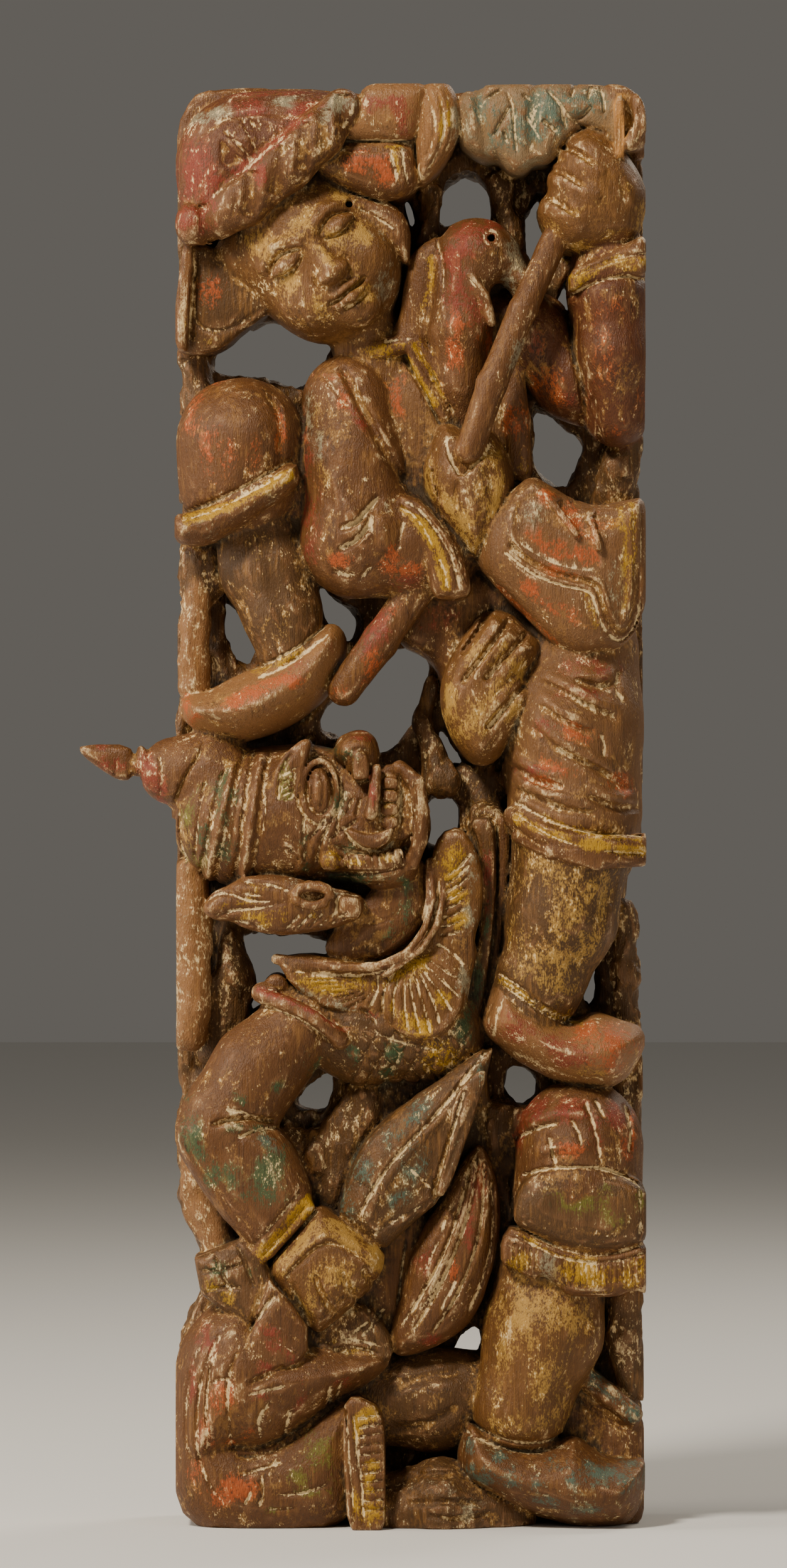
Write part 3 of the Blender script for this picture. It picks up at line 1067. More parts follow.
def carve_guardian_face():
    lines("brow", 2.2, 1.5, [
        [(-55, 291), (-55, 304), (-54, 315), (-48, 323)], [(-48, 291), (-49, 304), (-48, 314)],
    ], 0.4)
    lines("brow", 1.5, 1.0, hatch([(-54, 292), (-49, 295)], [(-53, 312), (-48, 315)], 8), 0.6, fade=0)
    lines("eye", 2, 1.1, [[(-38, 314), (-36, 306), (-38, 298)], [(-41, 312), (-41, 301)]])
    lines("helmet beast", 2.2, 1.8, [ring(-38, 306, 9.4, 14.5)], 0.3, fade=0)
    lines("helmet beast", 2.4, 1.8, [ring(-38, 306, 5.2, 10)], 0.3, fade=0)
    creases = [
        [(-35, 296), (-38, 290), (-43, 286), (-45, 276)],
        [(-31, 299), (-34, 291), (-38, 285), (-40, 274)], [(-27, 302), (-30, 296), (-31, 288)],
        [(-24, 303), (-27, 296)], [(-21, 303), (-23, 295)], [(-34, 286), (-28, 290), (-22, 294)],
        [(-32, 283), (-26, 281), (-18, 279), (-8, 279), (0, 284)], [(-28, 300), (-29, 308), (-31, 316)],
        [(-44, 296), (-45, 288), (-43, 280)],
    ]
    lines("helmet beast", 2.6, 1.7, creases, 0.45)
    lines("nose", 2, 1.2, [[(-28, 312), (-27, 320), (-22, 324), (-16, 321)], [(-33, 324), (-28, 328)]], 0.4)
    lines("nose", 2.4, 1.6, [[(-25, 311), (-24.5, 320)], [(-16.5, 312), (-17.5, 321)]], 0.2)
    lines("beast helmet", 2.4, 1.6, [
        [(-12, 317), (-12.5, 304), (-13, 292)], [(-5, 314), (-4, 302), (-5, 290)],
    ], 0.4)
    lines("beast", 1.8, 1.0, [[(1, 312), (2, 300), (1, 286), (-3, 278)]], 0.35)
    lines("beast helmet", 2.2, 1.4, [[(-29, 292), (-25, 285), (-19, 281), (-12, 280.5), (-7, 285)]], 0.7)
    lines("beard", 1.6, 1.3, hatch([(-29, 279), (-27, 274)], [(-5, 281), (-4, 275)], 9), 0.5, fade=0)
    lines("beast helmet", 2.4, 1.4, [
        [(-40, 272), (-24, 271.5), (-12, 272), (0, 276)], [(-40, 267), (-26, 266), (-10, 268)],
    ], 0.2)


def carve_ornament_and_spear():
    lines("ornament", 2.4, 1.4, [[(-85, 260), (-78, 264), (-72, 262), (-66, 260), (-56, 260)]], 0.7)
    lines("ornament", 2, 1.2, [
        [(-82, 254), (-72, 257), (-62, 257), (-52, 260)], [(-75, 266), (-70, 263), (-60, 262)],
        [(-74, 252), (-66, 251), (-60, 248)], [(-70, 268), (-58, 267), (-50, 264)],
    ], 0.6)
    lines("ornament", 1.8, 1.2, hatch([(-52, 248), (-46, 255)], [(-34, 250), (-26, 256)], 5), 0.6)
    lines("ornament", 2.4, 2.0, [[(-46, 263), (-41, 260.5), (-36, 263)]], 0.2)
    lines("ornament", 2, 1.3, [[(-31, 253), (-31, 264), (-20, 262)]], 0.8)
    lines("spear", 1.6, 0.9, [[(-112, 322), (-113, 312), (-112, 305)], [(-122, 320), (-124, 312)]], 0.3)
    lines("spear helmet", 2, 1.0, [[(-105, 303), (-103, 312), (-105, 321)]], 0.4)


def carve_collar():
    rays = hatch([(-18, 229), (-34, 230), (-50, 231)], [(-14, 224), (-20, 219), (-28, 215)], 9)
    lines("collar", 1.6, 1.3, rays, 0.4, fade=0.2)
    lines("neck_low", 3, 0.6, [[(-26, 250), (-8, 252), (2, 262)], [(-20, 240), (-6, 244), (4, 254)]])
    fan = [
        [(-7, 231), (-12, 222), (-12, 213)], [(-5, 230), (-8, 219), (-7, 208)],
        [(-3, 229), (-3, 217), (-1, 206)], [(-1, 229), (1, 216), (4, 204)],
        [(1, 230), (5, 217), (8, 205)], [(3, 231), (9, 219), (12, 209)], [(4, 232), (12, 222), (17, 214)],
        [(5, 234), (14, 226), (20, 220)], [(7, 236), (14, 231), (21, 227)],
    ]
    lines("collar", 1.8, 1.5, fan, 0.65, fade=0.1)
    ribs = hatch([(11, 246), (16, 246), (21, 248)], [(14, 270), (20, 274), (25, 280)], 8)
    lines("collar", 1.9, 1.5, ribs, 0.65, fade=0.15)
    lines("collar", 2, 1.3, [[(-14, 232), (-14, 222), (-18, 215)], [(9, 243), (16, 240), (22, 233)]], 0.8)
    rim = [
        [(-52, 229), (-46, 222), (-36, 216), (-26, 216)],
        [(-10, 208), (-2, 205), (8, 204), (16, 209), (22, 222)],
    ]
    lines("collar", 3.5, -1.0, rim)
    lines("collar_roll collar neck_low", 2, 1.3, [
        [(-50, 231), (-34, 229), (-18, 229), (-4, 234), (5, 243), (10, 254), (12, 270)],
        [(-30, 235), (-14, 235), (-2, 241), (4, 249), (8, 260), (7, 272)],
    ], 0.65, fade=0.05)
    lines("waist scales collar", 2.2, 1.4, [
        [(-22, 210), (-12, 204), (0, 200), (12, 198)], [(-22, 216), (-16, 212), (-14, 208)],
    ], 0.5)
    first, last = [(-26, 204), (-8, 182)], [(16, 206), (30, 190)]
    lines("scales waist", 1.7, 1.2, hatch(first, last, 7), 0.3, fade=0)
    first, last = [(-26, 184), (-14, 206)], [(6, 176), (24, 206)]
    lines("scales waist", 1.7, 1.2, hatch(first, last, 6), 0.3, fade=0)
    lines("strip strip_edge", 2, 1.4, [[(36, 292), (36, 264), (33, 234), (28, 208)]], 0.4, fade=0.02)


def carve_lower_arm():
    lines("shoulder_hem", 2, 1.4, [[(-63, 224), (-50, 221), (-40, 216), (-30, 208)]], 0.6)
    lines("shoulder_hem lower_sleeve", 2.4, 1.5, [[(-62, 217), (-52, 214), (-42, 209), (-32, 200)]], 0.4)
    lines("lower_sleeve", 3.6, 3.4, [[(-83, 167.5), (-75, 170), (-66, 170.5), (-57, 169)]], 0.1)
    lines("lower_sleeve", 2.2, 1.4, [
        [(-77, 174), (-71, 173), (-64, 171)], [(-72, 162), (-64, 166), (-55, 166)],
    ], 0.8)
    lines("lower_sleeve", 6, -1.4, [[(-80, 166), (-70, 167.5), (-60, 164)]])
    lines("lower_sleeve", 3, 1.0, [[(-94, 172), (-93, 158), (-86, 148), (-78, 136), (-68, 124)]])
    lines("lower_cuff", 1.8, 1.5, [[(-62, 113), (-52, 124), (-43, 135)]], fade=0.03)
    lines("lower_cuff lower_sleeve", 2, 1.2, [[(-66, 117), (-55, 129), (-45, 141)]], 0.3, fade=0.03)
    lines("lower_cuff fist_low", 2.2, 1.6, [[(-60, 108), (-50, 120), (-39, 132)]], 0.8, fade=0.03)
    lines("fist_low", 2.4, 1.5, [
        [(-50, 98), (-52, 106), (-44, 113), (-37, 119), (-28, 118), (-16, 109)],
    ], 0.2)
    knuckles = [
        [(-50, 103), (-47, 94), (-41, 85)], [(-40, 106), (-37, 97), (-32, 89)],
        [(-29, 108), (-27, 101), (-22, 94)], [(-20, 109), (-18, 104), (-14, 100)],
    ]
    lines("fist_low", 3.6, 2.4, knuckles, 0.2, fade=0.25)
    lines("fist_low", 6, -1.3, [[(-54, 106), (-44, 118), (-34, 124), (-22, 118), (-13, 110)]])


def carve_blade():
    facets = [
        [(33, 200), (20, 184), (10, 171), (-5, 156), (-14, 144), (-22, 129)],
        [(22, 182), (18, 168), (13, 152), (9, 138)],
    ]
    lines("blade", 3, 2.0, facets, 0.6, fade=0.04)
    lines("blade", 2, 1.2, [
        [(-17, 121), (-8, 127), (3, 133), (10, 138)], [(-4, 152), (3, 146), (9, 140)],
    ], 0.5)
    hollow("blade", [(24, 176), (30, 186), (21, 160), (13, 139), (10, 141), (17, 160)], 2.4, 3)
    hollow("blade", [
        (-20, 128), (-8, 148), (4, 162), (16, 174), (13, 156), (8, 138), (-4, 128), (-14, 122),
    ], 1.4, 3)
    lines("blade", 1.0, 1.6, [
        [(2, 176), (4, 164), (7, 152), (11, 137)], [(-24, 145), (-15, 140), (-5, 133)],
        [(-12, 145), (-13, 137), (-16, 128)],
    ], fade=0.2)
    lines("hilt", 2.2, 1.5, [
        [(-81, 115), (-79, 106), (-74, 98)], [(-88, 107), (-80, 107), (-70, 110)],
        [(-72, 118), (-68, 108), (-65, 100)], [(-86, 98), (-78, 101), (-70, 100)],
    ], 0.4)
    lines("hilt pommel", 2.6, 1.8, [[(-56, 98), (-62, 90), (-68, 81)]], 0.9)
    lines("pommel", 1.6, 0.9, [[(-61, 82), (-54, 77), (-46, 72)], [(-58, 86), (-52, 82), (-46, 78)]], 0.4)
    lines("pommel", 2.2, 1.4, [[(-69, 80), (-69, 70), (-67, 62)], [(-66, 61), (-56, 63), (-46, 68)]], 0.4)


def carve_sash_and_belt():
    lines("sash", 2.8, 2.0, [
        [(27, 156), (26, 140), (21, 122), (12, 100), (0, 80)],
        [(30, 152), (30, 134), (27, 116), (19, 96), (8, 80)], [(33, 144), (34, 124), (31, 106), (23, 88)],
        [(24, 150), (20, 132), (13, 112), (2, 92), (-5, 82)],
    ], 0.5, fade=0.06)
    lines("sash", 5, -1.3, [[(25, 144), (18, 120), (4, 92)], [(32, 140), (28, 112), (14, 88)]])
    lines("sash", 1.8, 1.0, [
        [(15, 130), (10, 116), (4, 104)], [(12, 104), (4, 90)], [(20, 106), (12, 90)],
    ], 0.7)
    lines("lower_lap", 2.4, 1.5, [[(-2, 120), (-5, 100), (-6, 84)], [(3, 116), (0, 98)]], 0.5)
    crossing = [[(-24, 81), (-17, 86), (-10, 91)], [(-19, 94), (-17, 87), (-15, 80)], [(-21, 79), (-12, 88)]]
    lines("belt lower_lap", 1.7, 1.1, crossing, 0.8)
    lines("belt", 1.6, 1.2, [[(-30, 79), (-21, 77.5), (-12, 75)], [(-29, 76), (-20, 74), (-13, 72)]], 0.8)
    for x, z in ((-36, 73), (-28, 71)):
        lines("belt", 1.6, 1.2, [ring(x, z, 4, 4)], 0.2, fade=0)
    hollow("belt", [(-39, 78), (-38, 70), (-32, 69), (-31, 77)], -1.2, 1.5)
    hollow("belt", [(-28, 72), (-21, 71), (-22, 67), (-28, 67)], -1.0, 1.5)


def carve_armoured_leg():
    folds = [
        [(72, 177), (76, 166), (78, 153)], [(76, 178), (80, 170)], [(42, 160), (52, 166), (61, 168)],
        [(57, 163), (58, 156), (60, 151)], [(88, 176), (91, 166), (90, 155)],
        [(66, 170), (70, 163), (70, 157)],
    ]
    lines("armour_knee", 2.6, 1.6, folds, 0.7)
    lines("armour_knee", 8, -1.6, [[(46, 168), (60, 174), (72, 172)], [(50, 156), (64, 160), (74, 158)]])
    lines("tier armour_knee", 2.4, 1.8, [
        [(46, 146), (54, 149.5), (70, 150.5), (82, 149.5), (97, 141)],
    ], 0.75, fade=0.02)
    lines("tier", 2, 1.2, [[(94, 142), (95, 130), (94, 120)]], 0.7)
    lines("tier fringe", 2.2, 1.7, [
        [(42, 126), (52, 121), (62, 116), (74, 113.5), (84, 114), (97, 119)],
        [(41, 123), (52, 117), (62, 112.5), (74, 110.5), (85, 111), (97, 115)],
    ], 0.5, fade=0.02)
    lines("fringe", 1.7, 1.3, hatch([(40, 119), (40, 109)], [(52, 116), (51, 106)], 6), 0.3, fade=0)
    lines("fringe", 1.7, 1.3, hatch([(63, 111), (64, 101)], [(94, 112), (94, 103)], 15), 0.25, fade=0)
    lines("shaft_low", 10, 1.2, [[(38, 96), (36, 76), (32, 56)], [(74, 92), (66, 70), (60, 52)]])
    anklet = [
        [(23, 44), (32, 39), (42, 36), (52, 35), (62, 37), (67, 40)],
        [(22, 40), (32, 35), (42, 32), (52, 31), (64, 34)],
    ]
    lines("boot_low shaft_low", 2.2, 1.5, anklet, 0.7, fade=0.04)
    lines("boot_low", 2, 1.2, [[(22, 36), (20.5, 26), (24, 19), (34, 13), (48, 7), (62, 3)]], 0.35)
    lines("boot_low", 1.4, 0.9, [[(47, 16), (47.5, 8)], [(52, 33), (53, 29)]])


def carve_kneeling_leg():
    folds = [
        [(-76, 86), (-82, 76), (-87, 62), (-89, 46), (-89, 32), (-84, 18), (-78, 11)],
        [(-84, 84), (-90, 70), (-93, 56), (-94, 40), (-91, 28)],
        [(-80, 78), (-84, 64), (-85, 48), (-84, 32)], [(-72, 74), (-76, 62), (-76, 46), (-74, 32)],
        [(-84, 60), (-77, 64), (-73, 59)],
    ]
    lines("low_thigh low_skirt", 2.6, 1.5, folds, 0.4, fade=0.1)
    lines("low_thigh belt", 5, 2.6, [[(-44, 69), (-54, 67), (-68, 60)]], fade=0.2)
    lines("low_thigh", 2.4, 1.4, [
        [(-50, 50), (-52, 42), (-53, 36)], [(-34, 60), (-34, 51)], [(-29, 62), (-31, 54)],
        [(-68, 56), (-60, 58), (-52, 60)], [(-58, 54), (-64, 46), (-62, 38)],
    ], 0.7)
    lines("low_thigh low_skirt", 2.6, 1.8, [
        [(-73, 30), (-64, 29.5), (-52, 34), (-40, 43), (-30, 52)],
    ], 0.2, fade=0.03)
    lines("low_skirt", 2.2, 1.3, [
        [(-71, 22), (-62, 25), (-53, 28)], [(-62, 22), (-61, 15), (-63, 9)], [(-66, 16), (-69, 10)],
        [(-56, 14), (-44, 15), (-34, 19)], [(-60, 8), (-48, 9)],
    ], 0.6)
    lines("strap", 1.8, 1.4, [
        [(-27, 50), (-26, 30), (-24, 12), (-24, 2)], [(-24, 48), (-22, 30), (-20, 14), (-20, 2)],
    ], 0.6, fade=0.02)
    lines("strap", 1.6, 1.2, hatch([(-20, 8), (-12, 9)], [(-22, 46), (-13, 48)], 11), 0.5, fade=0)
    lines("low_calf", 6, 1.6, [[(-8, 40), (6, 42), (20, 50)], [(-6, 58), (8, 62), (22, 64)]])


def carve_ground():
    lines("rock", 3, 1.4, [[(70, 62), (80, 56), (90, 47)], [(66, 54), (78, 46), (92, 38)]])
    lines("mound", 4, 1.6, [
        [(-8, 16), (4, 22), (18, 22)], [(-2, 10), (14, 12), (30, 10)], [(6, 6), (20, 4), (34, 6)],
    ])


def cut_relief(depth):
    """Cuts the strokes into the wood, behind the front's depth."""
    for row, y in enumerate(GRID_Y):
        wood[:, row, :] += relief * np.clip(1 - (y - depth - RELIEF_FULL) / RELIEF_FADE, 0, 1)


def adze_scoops():
    """How deep the adze went over the back: shallow scoops in lanes that run up the plank."""
    lane = (GRID_X[:, None] - LEFT) / SCOOP_WIDTH
    scoop = GRID_Z[None, :] / SCOOP_LENGTH + np.sin(LANE_SHIFT * np.floor(lane))
    across, along = 2 * (lane % 1) - 1, 2 * (scoop % 1) - 1
    return SCOOP_DEPTH * (1 - across ** 2) * (1 - along ** 2)


def trim_to_plank():
    """The plank's own faces cut every form off flat, and its upper corners are rounded."""
    x, z = GRID_X[:, None], GRID_Z[None, :]
    half, middle = (RIGHT - LEFT) / 2, (RIGHT + LEFT) / 2
    across, up = np.abs(x - middle) - half, z - TOP
    corner = np.sqrt(np.maximum(across + CORNER, 0) ** 2 + np.maximum(up + CORNER, 0) ** 2) - CORNER
    sides = np.where(up > -CORNER, corner, across)
    point = np.where(x < SPEAR_X, np.abs(z - SPEAR_Z) - SPEAR_ROOM, FAR)
    outside = np.maximum(np.minimum(sides, point), -z)[:, None, :]
    behind = GRID_Y[None, :, None] - BACK + adze_scoops()[:, None, :]
    depth = np.maximum(behind, (FRONT - GRID_Y)[None, :, None])
    wood[...] = np.maximum(wood, np.maximum(outside, depth))


def shells_of(skin):
    """The points of a surface in groups that hang together, the largest group last."""
    loose = set(skin.verts)
    shells = []
    while loose:
        shell = [loose.pop()]
        for vertex in shell:
            around = {edge.other_vert(vertex) for edge in vertex.link_edges} & loose
            loose -= around
            shell.extend(around)
        shells.append(shell)
    return sorted(shells, key=len)


def clean_skin(mesh):
    """Joins points that fell together, and drops the small bubbles that lie inside the wood."""
    skin = bmesh.new()
    skin.from_mesh(mesh)
    bmesh.ops.dissolve_degenerate(skin, dist=SHORTEST_EDGE * MM, edges=skin.edges)
    bmesh.ops.triangulate(skin, faces=[face for face in skin.faces if len(face.verts) > 3])
    bubbles = [vertex for shell in shells_of(skin)[:-1] for vertex in shell]
    bmesh.ops.delete(skin, geom=bubbles, context="VERTS")
    skin.to_mesh(mesh)
    skin.free()


def surface_mesh(name):
    """The carved surface as a triangle mesh in metres, thinned where it is flat."""
    grid = openvdb.FloatGrid(FAR)
    grid.copyFromArray(np.clip(wood, -FAR, FAR))
    points, triangles, quads = grid.convertToPolygons(0.0, 0.0)
    points = (points * VOXEL + LOW) * MM
    mesh = bpy.data.meshes.new(name)
    mesh.from_pydata(points.tolist(), [], quads.tolist() + triangles.tolist())
    piece = bpy.data.objects.new(name, mesh)
    bpy.context.scene.collection.objects.link(piece)
    modifier = piece.modifiers.new("thin", "DECIMATE")
    modifier.ratio = MOST_TRIANGLES / (2 * len(quads) + len(triangles))
    bpy.context.view_layer.update()
    evaluated = piece.evaluated_get(bpy.context.evaluated_depsgraph_get())
    thinned = bpy.data.meshes.new_from_object(evaluated)
    piece.modifiers.clear()
    piece.data = thinned
    bpy.data.meshes.remove(mesh)
    clean_skin(thinned)
    thinned.polygons.foreach_set("use_smooth", np.ones(len(thinned.polygons), bool))
    return piece


PAINTS = ("gold", "red", "orange", "yellow", "teal", "green", "olive", "grey")

# A blot is full over its middle and fades towards its rim; a stripe has a soft edge.
BLOT_CORE, BLOT_FADE = 1.35, 0.75
STRIPE_EDGE = 2.2

# How far the front, the painted stripes, the back and the sides reach into the depth of the skin.
FRONT_SKIN, STRIPE_SKIN, BACK_SKIN, SIDE_SKIN = 4.0, 8.0, 4.0, 2.0


def read_vertices(mesh):
    count = len(mesh.vertices)
    places, normals = np.empty(3 * count, np.float32), np.empty(3 * count, np.float32)
    mesh.vertices.foreach_get("co", places)
    mesh.vertex_normals.foreach_get("vector", normals)
    return places.reshape(-1, 3) / MM, normals.reshape(-1, 3)


def cells(places):
    """The grid cells nearest to some places."""
    return tuple(np.clip(np.round((places - LOW) / VOXEL).astype(int), 0, COUNT - 1).T)


def coat(colour, strength, forms):
    paint[colour] = np.maximum(paint[colour], strength * np.isin(vertex_form, numbers_of(forms)))


def dabs(colour, forms, spots, strength=1.0):
    """Blots of paint at (x, z) with half sizes and a lean, on some forms only."""
    on = np.isin(vertex_form, numbers_of(forms))
    for x, z, rx, rz, *lean in spots:
        turn = math.radians(lean[0] if lean else 0)
        dx, dz = place_of[on, 0] - x, place_of[on, 2] - z
        across = dx * math.cos(turn) - dz * math.sin(turn)
        along = dx * math.sin(turn) + dz * math.cos(turn)
        weight = strength * np.clip(BLOT_CORE - BLOT_FADE * np.hypot(across / rx, along / rz), 0, 1)
        paint[colour][on] = np.maximum(paint[colour][on], weight)


def brush(colour, forms, width, routes, strength=1.0):
    """Painted stripes along some lines, on some forms only."""
    on = np.isin(vertex_form, numbers_of(forms)) & (place_of[:, 1] < vertex_front + STRIPE_SKIN)
    for route in routes:
        gap, _ = route_distance(softened(route), place_of[on, 0], place_of[on, 2])
        weight = strength * np.clip(0.5 + (width / 2 - gap) / STRIPE_EDGE, 0, 1)
        paint[colour][on] = np.maximum(paint[colour][on], weight)


def paint_cap_and_cloth():
    dabs("red", "cap", [
        (-90, 562, 8, 17), (-80, 556, 11, 7), (-66, 589, 9, 4), (-44, 588, 11, 5, -30), (-60, 596, 16, 3),
    ])
    brush("red", "cap brim", 5, [[(-76, 559), (-62, 569), (-46, 583), (-36, 590)]], 0.9)
    dabs("red", "knot brim", [(-89, 543, 8, 7), (-84, 548, 5, 5), (-62, 560, 3, 5)])
    dabs("grey", "cap brim", [
        (-84, 586, 10, 3.5, -14), (-52, 591.5, 9, 3), (-30, 590, 7, 4), (-36, 586, 3, 4),
    ])
    dabs("red", "cloth cloth_fold", [(-10, 590, 13, 4), (-2, 584, 4, 7)])
    dabs("orange", "cloth_fold", [(-18, 566, 8, 5), (-11, 560, 4, 4)])
    brush("yellow", "cloth_fold cloth_turn", 2.6, [
        [(-12, 573), (-4, 573)], [(-7, 570), (-5, 562)], [(11.5, 594), (13, 584), (12, 576)],
        [(15, 592), (15.5, 580)],
    ])
    dabs("grey", "cloth_turn cloth_fold", [(18, 585, 3, 8), (-2, 573, 3, 2)])
    dabs("orange", "flap", [(-83, 514, 7, 8)], 0.75)
    dabs("yellow", "flap flap_edge", [(-82, 494, 8, 4), (-95, 505, 2, 12)], 0.6)


def paint_leaves():
    dabs("teal", "leaves", [
        (30, 588, 9, 6), (55, 590, 11, 7), (71, 590, 9, 6), (43, 580, 6, 9), (36, 576, 5, 5),
        (62, 582, 5, 4), (50, 578, 8, 5), (78, 590, 5, 6), (34, 580, 5, 5),
    ], 0.9)
    dabs("grey", "leaves", [(33, 571, 4, 5), (48, 566, 6, 3), (24, 583, 3, 8)], 0.8)


def paint_raised_arm():
    dabs("gold", "fist_top", [
        (70, 530, 9, 4), (86, 534, 9, 4), (94, 544, 4, 7), (58, 540, 4, 6), (66, 545, 4, 3),
        (80, 550, 5, 4), (72, 566, 5, 3), (88, 556, 3, 5),
    ], 0.8)
    brush("yellow", "cuff_top", 6.5, [[(66, 518), (76, 521), (86, 525)], [(84, 524), (97, 524)]], 0.95)
    dabs("yellow", "cuff_top", [(68, 514, 3, 5)])
    dabs("orange", "forearm", [
        (84, 505, 7, 6), (77, 503, 4, 8), (80, 484, 6, 12), (86, 456, 7, 5), (95, 466, 3, 8),
        (77, 476, 4, 5),
    ], 0.5)
    dabs("red", "forearm upper_arm", [(73, 472, 3, 8), (66, 470, 4, 5), (52, 492, 4, 6)], 0.6)
    dabs("orange", "upper_arm", [(56, 476, 8, 6), (60, 468, 6, 4)], 0.6)


def paint_bird_and_staff():
    dabs("red", "bird", [
        (25, 537, 9, 6), (16, 527, 5, 6), (20, 511, 6, 11), (27, 503, 6, 8), (34, 541, 5, 3),
        (24, 530, 5, 5),
    ], 0.95)
    dabs("orange", "bird", [(31, 493, 4, 7), (18, 486, 4, 8), (20, 500, 5, 5)], 0.9)
    brush("yellow", "shawl bird neckband", 3.2, [[(8, 527), (8.5, 516), (5, 506)]])
    dabs("yellow", "neckband", [(-12, 489, 7, 3), (-4, 491, 4, 2)], 0.9)
    dabs("grey", "staff", [(43, 485, 4, 9)], 0.8)
    dabs("red", "staff", [(-14, 374, 7, 7), (-20, 365, 5, 5)], 0.9)
    dabs("orange", "staff", [(-17, 360, 5, 8), (-29, 347, 5, 4), (-7, 380, 3, 3)], 0.85)


def paint_jacket_and_sleeve():
    brush("yellow", "lapel", 3, [[(1, 491), (8, 480), (14, 470)], [(4, 493), (9, 487)]])
    brush("yellow", "lapel jacket", 3, [[(-2, 486), (4, 475), (10, 466)]])
    dabs("orange", "jacket", [(-14, 478, 9, 5), (-8, 470, 4, 8), (-4, 464, 2, 5)], 0.95)
    dabs("orange", "sleeve", [
        (-33, 478, 7, 3), (-28, 470, 3, 6), (-30, 401, 6, 3), (-4, 398, 9, 4), (-8, 405, 3, 4),
        (-45, 458, 2, 8),
    ], 0.9)
    dabs("red", "sleeve", [
        (-44, 440, 3, 10), (-43, 421, 5, 14), (-42, 405, 3, 6), (-22, 460, 2.5, 8, -30), (-2, 392, 6, 5),
    ], 0.9)
    dabs("gold", "sleeve", [(-37, 437, 4, 6, -30), (-38, 462, 3, 8)], 0.55)
    dabs("grey", "sleeve", [(-43, 464, 3, 13), (-6, 424, 10, 3), (-38, 448, 3, 6)], 0.6)
    dabs("grey", "jacket neckband", [(-24, 484, 8, 3), (14, 478, 3, 8, -30)], 0.6)
    brush("yellow", "sleeve_cuff", 6, [[(-4, 421), (4, 416), (11, 405), (14, 390)]])


def paint_face_and_hand():
    dabs("gold", "face headband", [
        (-62, 532, 7, 5, 40), (-47, 540, 4, 9, 38), (-30, 534, 4, 7, -38), (-20, 536, 5, 6),
        (-50, 517, 5, 4, 38), (-38, 505, 7, 3, 38), (-20, 512, 4, 7, -38), (-30, 552, 8, 2.5, 24),
        (-34, 524, 2.5, 8, -38),
    ], 0.95)
    dabs("grey", "face", [(-11, 515, 4, 10, 20), (-14, 537, 5, 3, 38)], 0.8)
    dabs("grey", "bird", [(44, 527, 3.5, 10, -20), (40, 517, 3, 6)], 0.9)
    dabs("gold", "hand", [
        (8, 434, 4, 14), (14, 420, 5, 8), (36, 425, 5, 13), (23, 418, 5, 5), (35, 446, 4, 5),
        (30, 446, 3, 6), (26, 408, 10, 5),
    ], 0.95)
    dabs("orange", "ribbon", [(42, 459, 6, 10)], 0.85)
    dabs("yellow", "ribbon", [(47, 442, 3, 7)], 0.8)


def paint_skirt():
    brush("orange", "skirt", 8, [[(50, 412), (58, 406), (74, 402)]], 0.95)
    dabs("orange", "skirt", [
        (66, 418, 4, 8, -30), (76, 415, 3, 7), (62, 380, 9, 3.5, 28), (48, 390, 4, 4),
        (60, 396, 9, 3, 15), (55, 427, 3, 4),
    ], 0.9)
    brush("orange", "skirt lap", 3, [[(36, 390), (48, 379), (60, 367)]], 0.85)
    brush("yellow", "skirt", 4, [[(86, 424), (88, 405), (89, 382)], [(91, 424), (92, 405), (90, 388)]], 0.85)
    brush("yellow", "skirt", 4, [[(72, 388), (75, 380), (76, 374)]], 0.8)
    dabs("red", "lap", [(15, 381, 13, 4), (10, 376, 8, 4)], 0.8)
    dabs("grey", "skirt", [(52, 420, 7, 6), (64, 412, 9, 4), (84, 390, 4, 14)], 0.5)


def paint_raised_leg():
    dabs("orange", "knee", [
        (-86, 471, 11, 4, -35), (-81, 446, 8, 12), (-54, 455, 4, 10), (-91, 460, 3, 10, 20),
        (-66, 446, 4, 8),
    ], 0.65)
    dabs("grey", "knee_hem", [(-84, 413, 10, 3), (-60, 425, 10, 3)], 0.55)
    brush("yellow", "knee_hem", 6, [[(-92, 418), (-78, 422), (-62, 430), (-50, 437)]])
    dabs("gold", "calf", [(-62, 402, 14, 14), (-54, 378, 12, 12)], 0.35)
    brush("yellow", "boot_left calf", 4, [[(-66, 355), (-56, 358), (-46, 364)]], 0.9)
    dabs("orange", "boot_left", [
        (-67, 345, 8, 3.4, -30), (-73, 342, 5, 2.5, -10), (-52, 351, 6, 3), (-93, 342, 2.5, 6),
        (-90, 336, 3, 3),
    ])
    dabs("red", "boot_left", [(-48, 356, 8, 4, -30), (-32, 366, 3, 5)], 0.55)


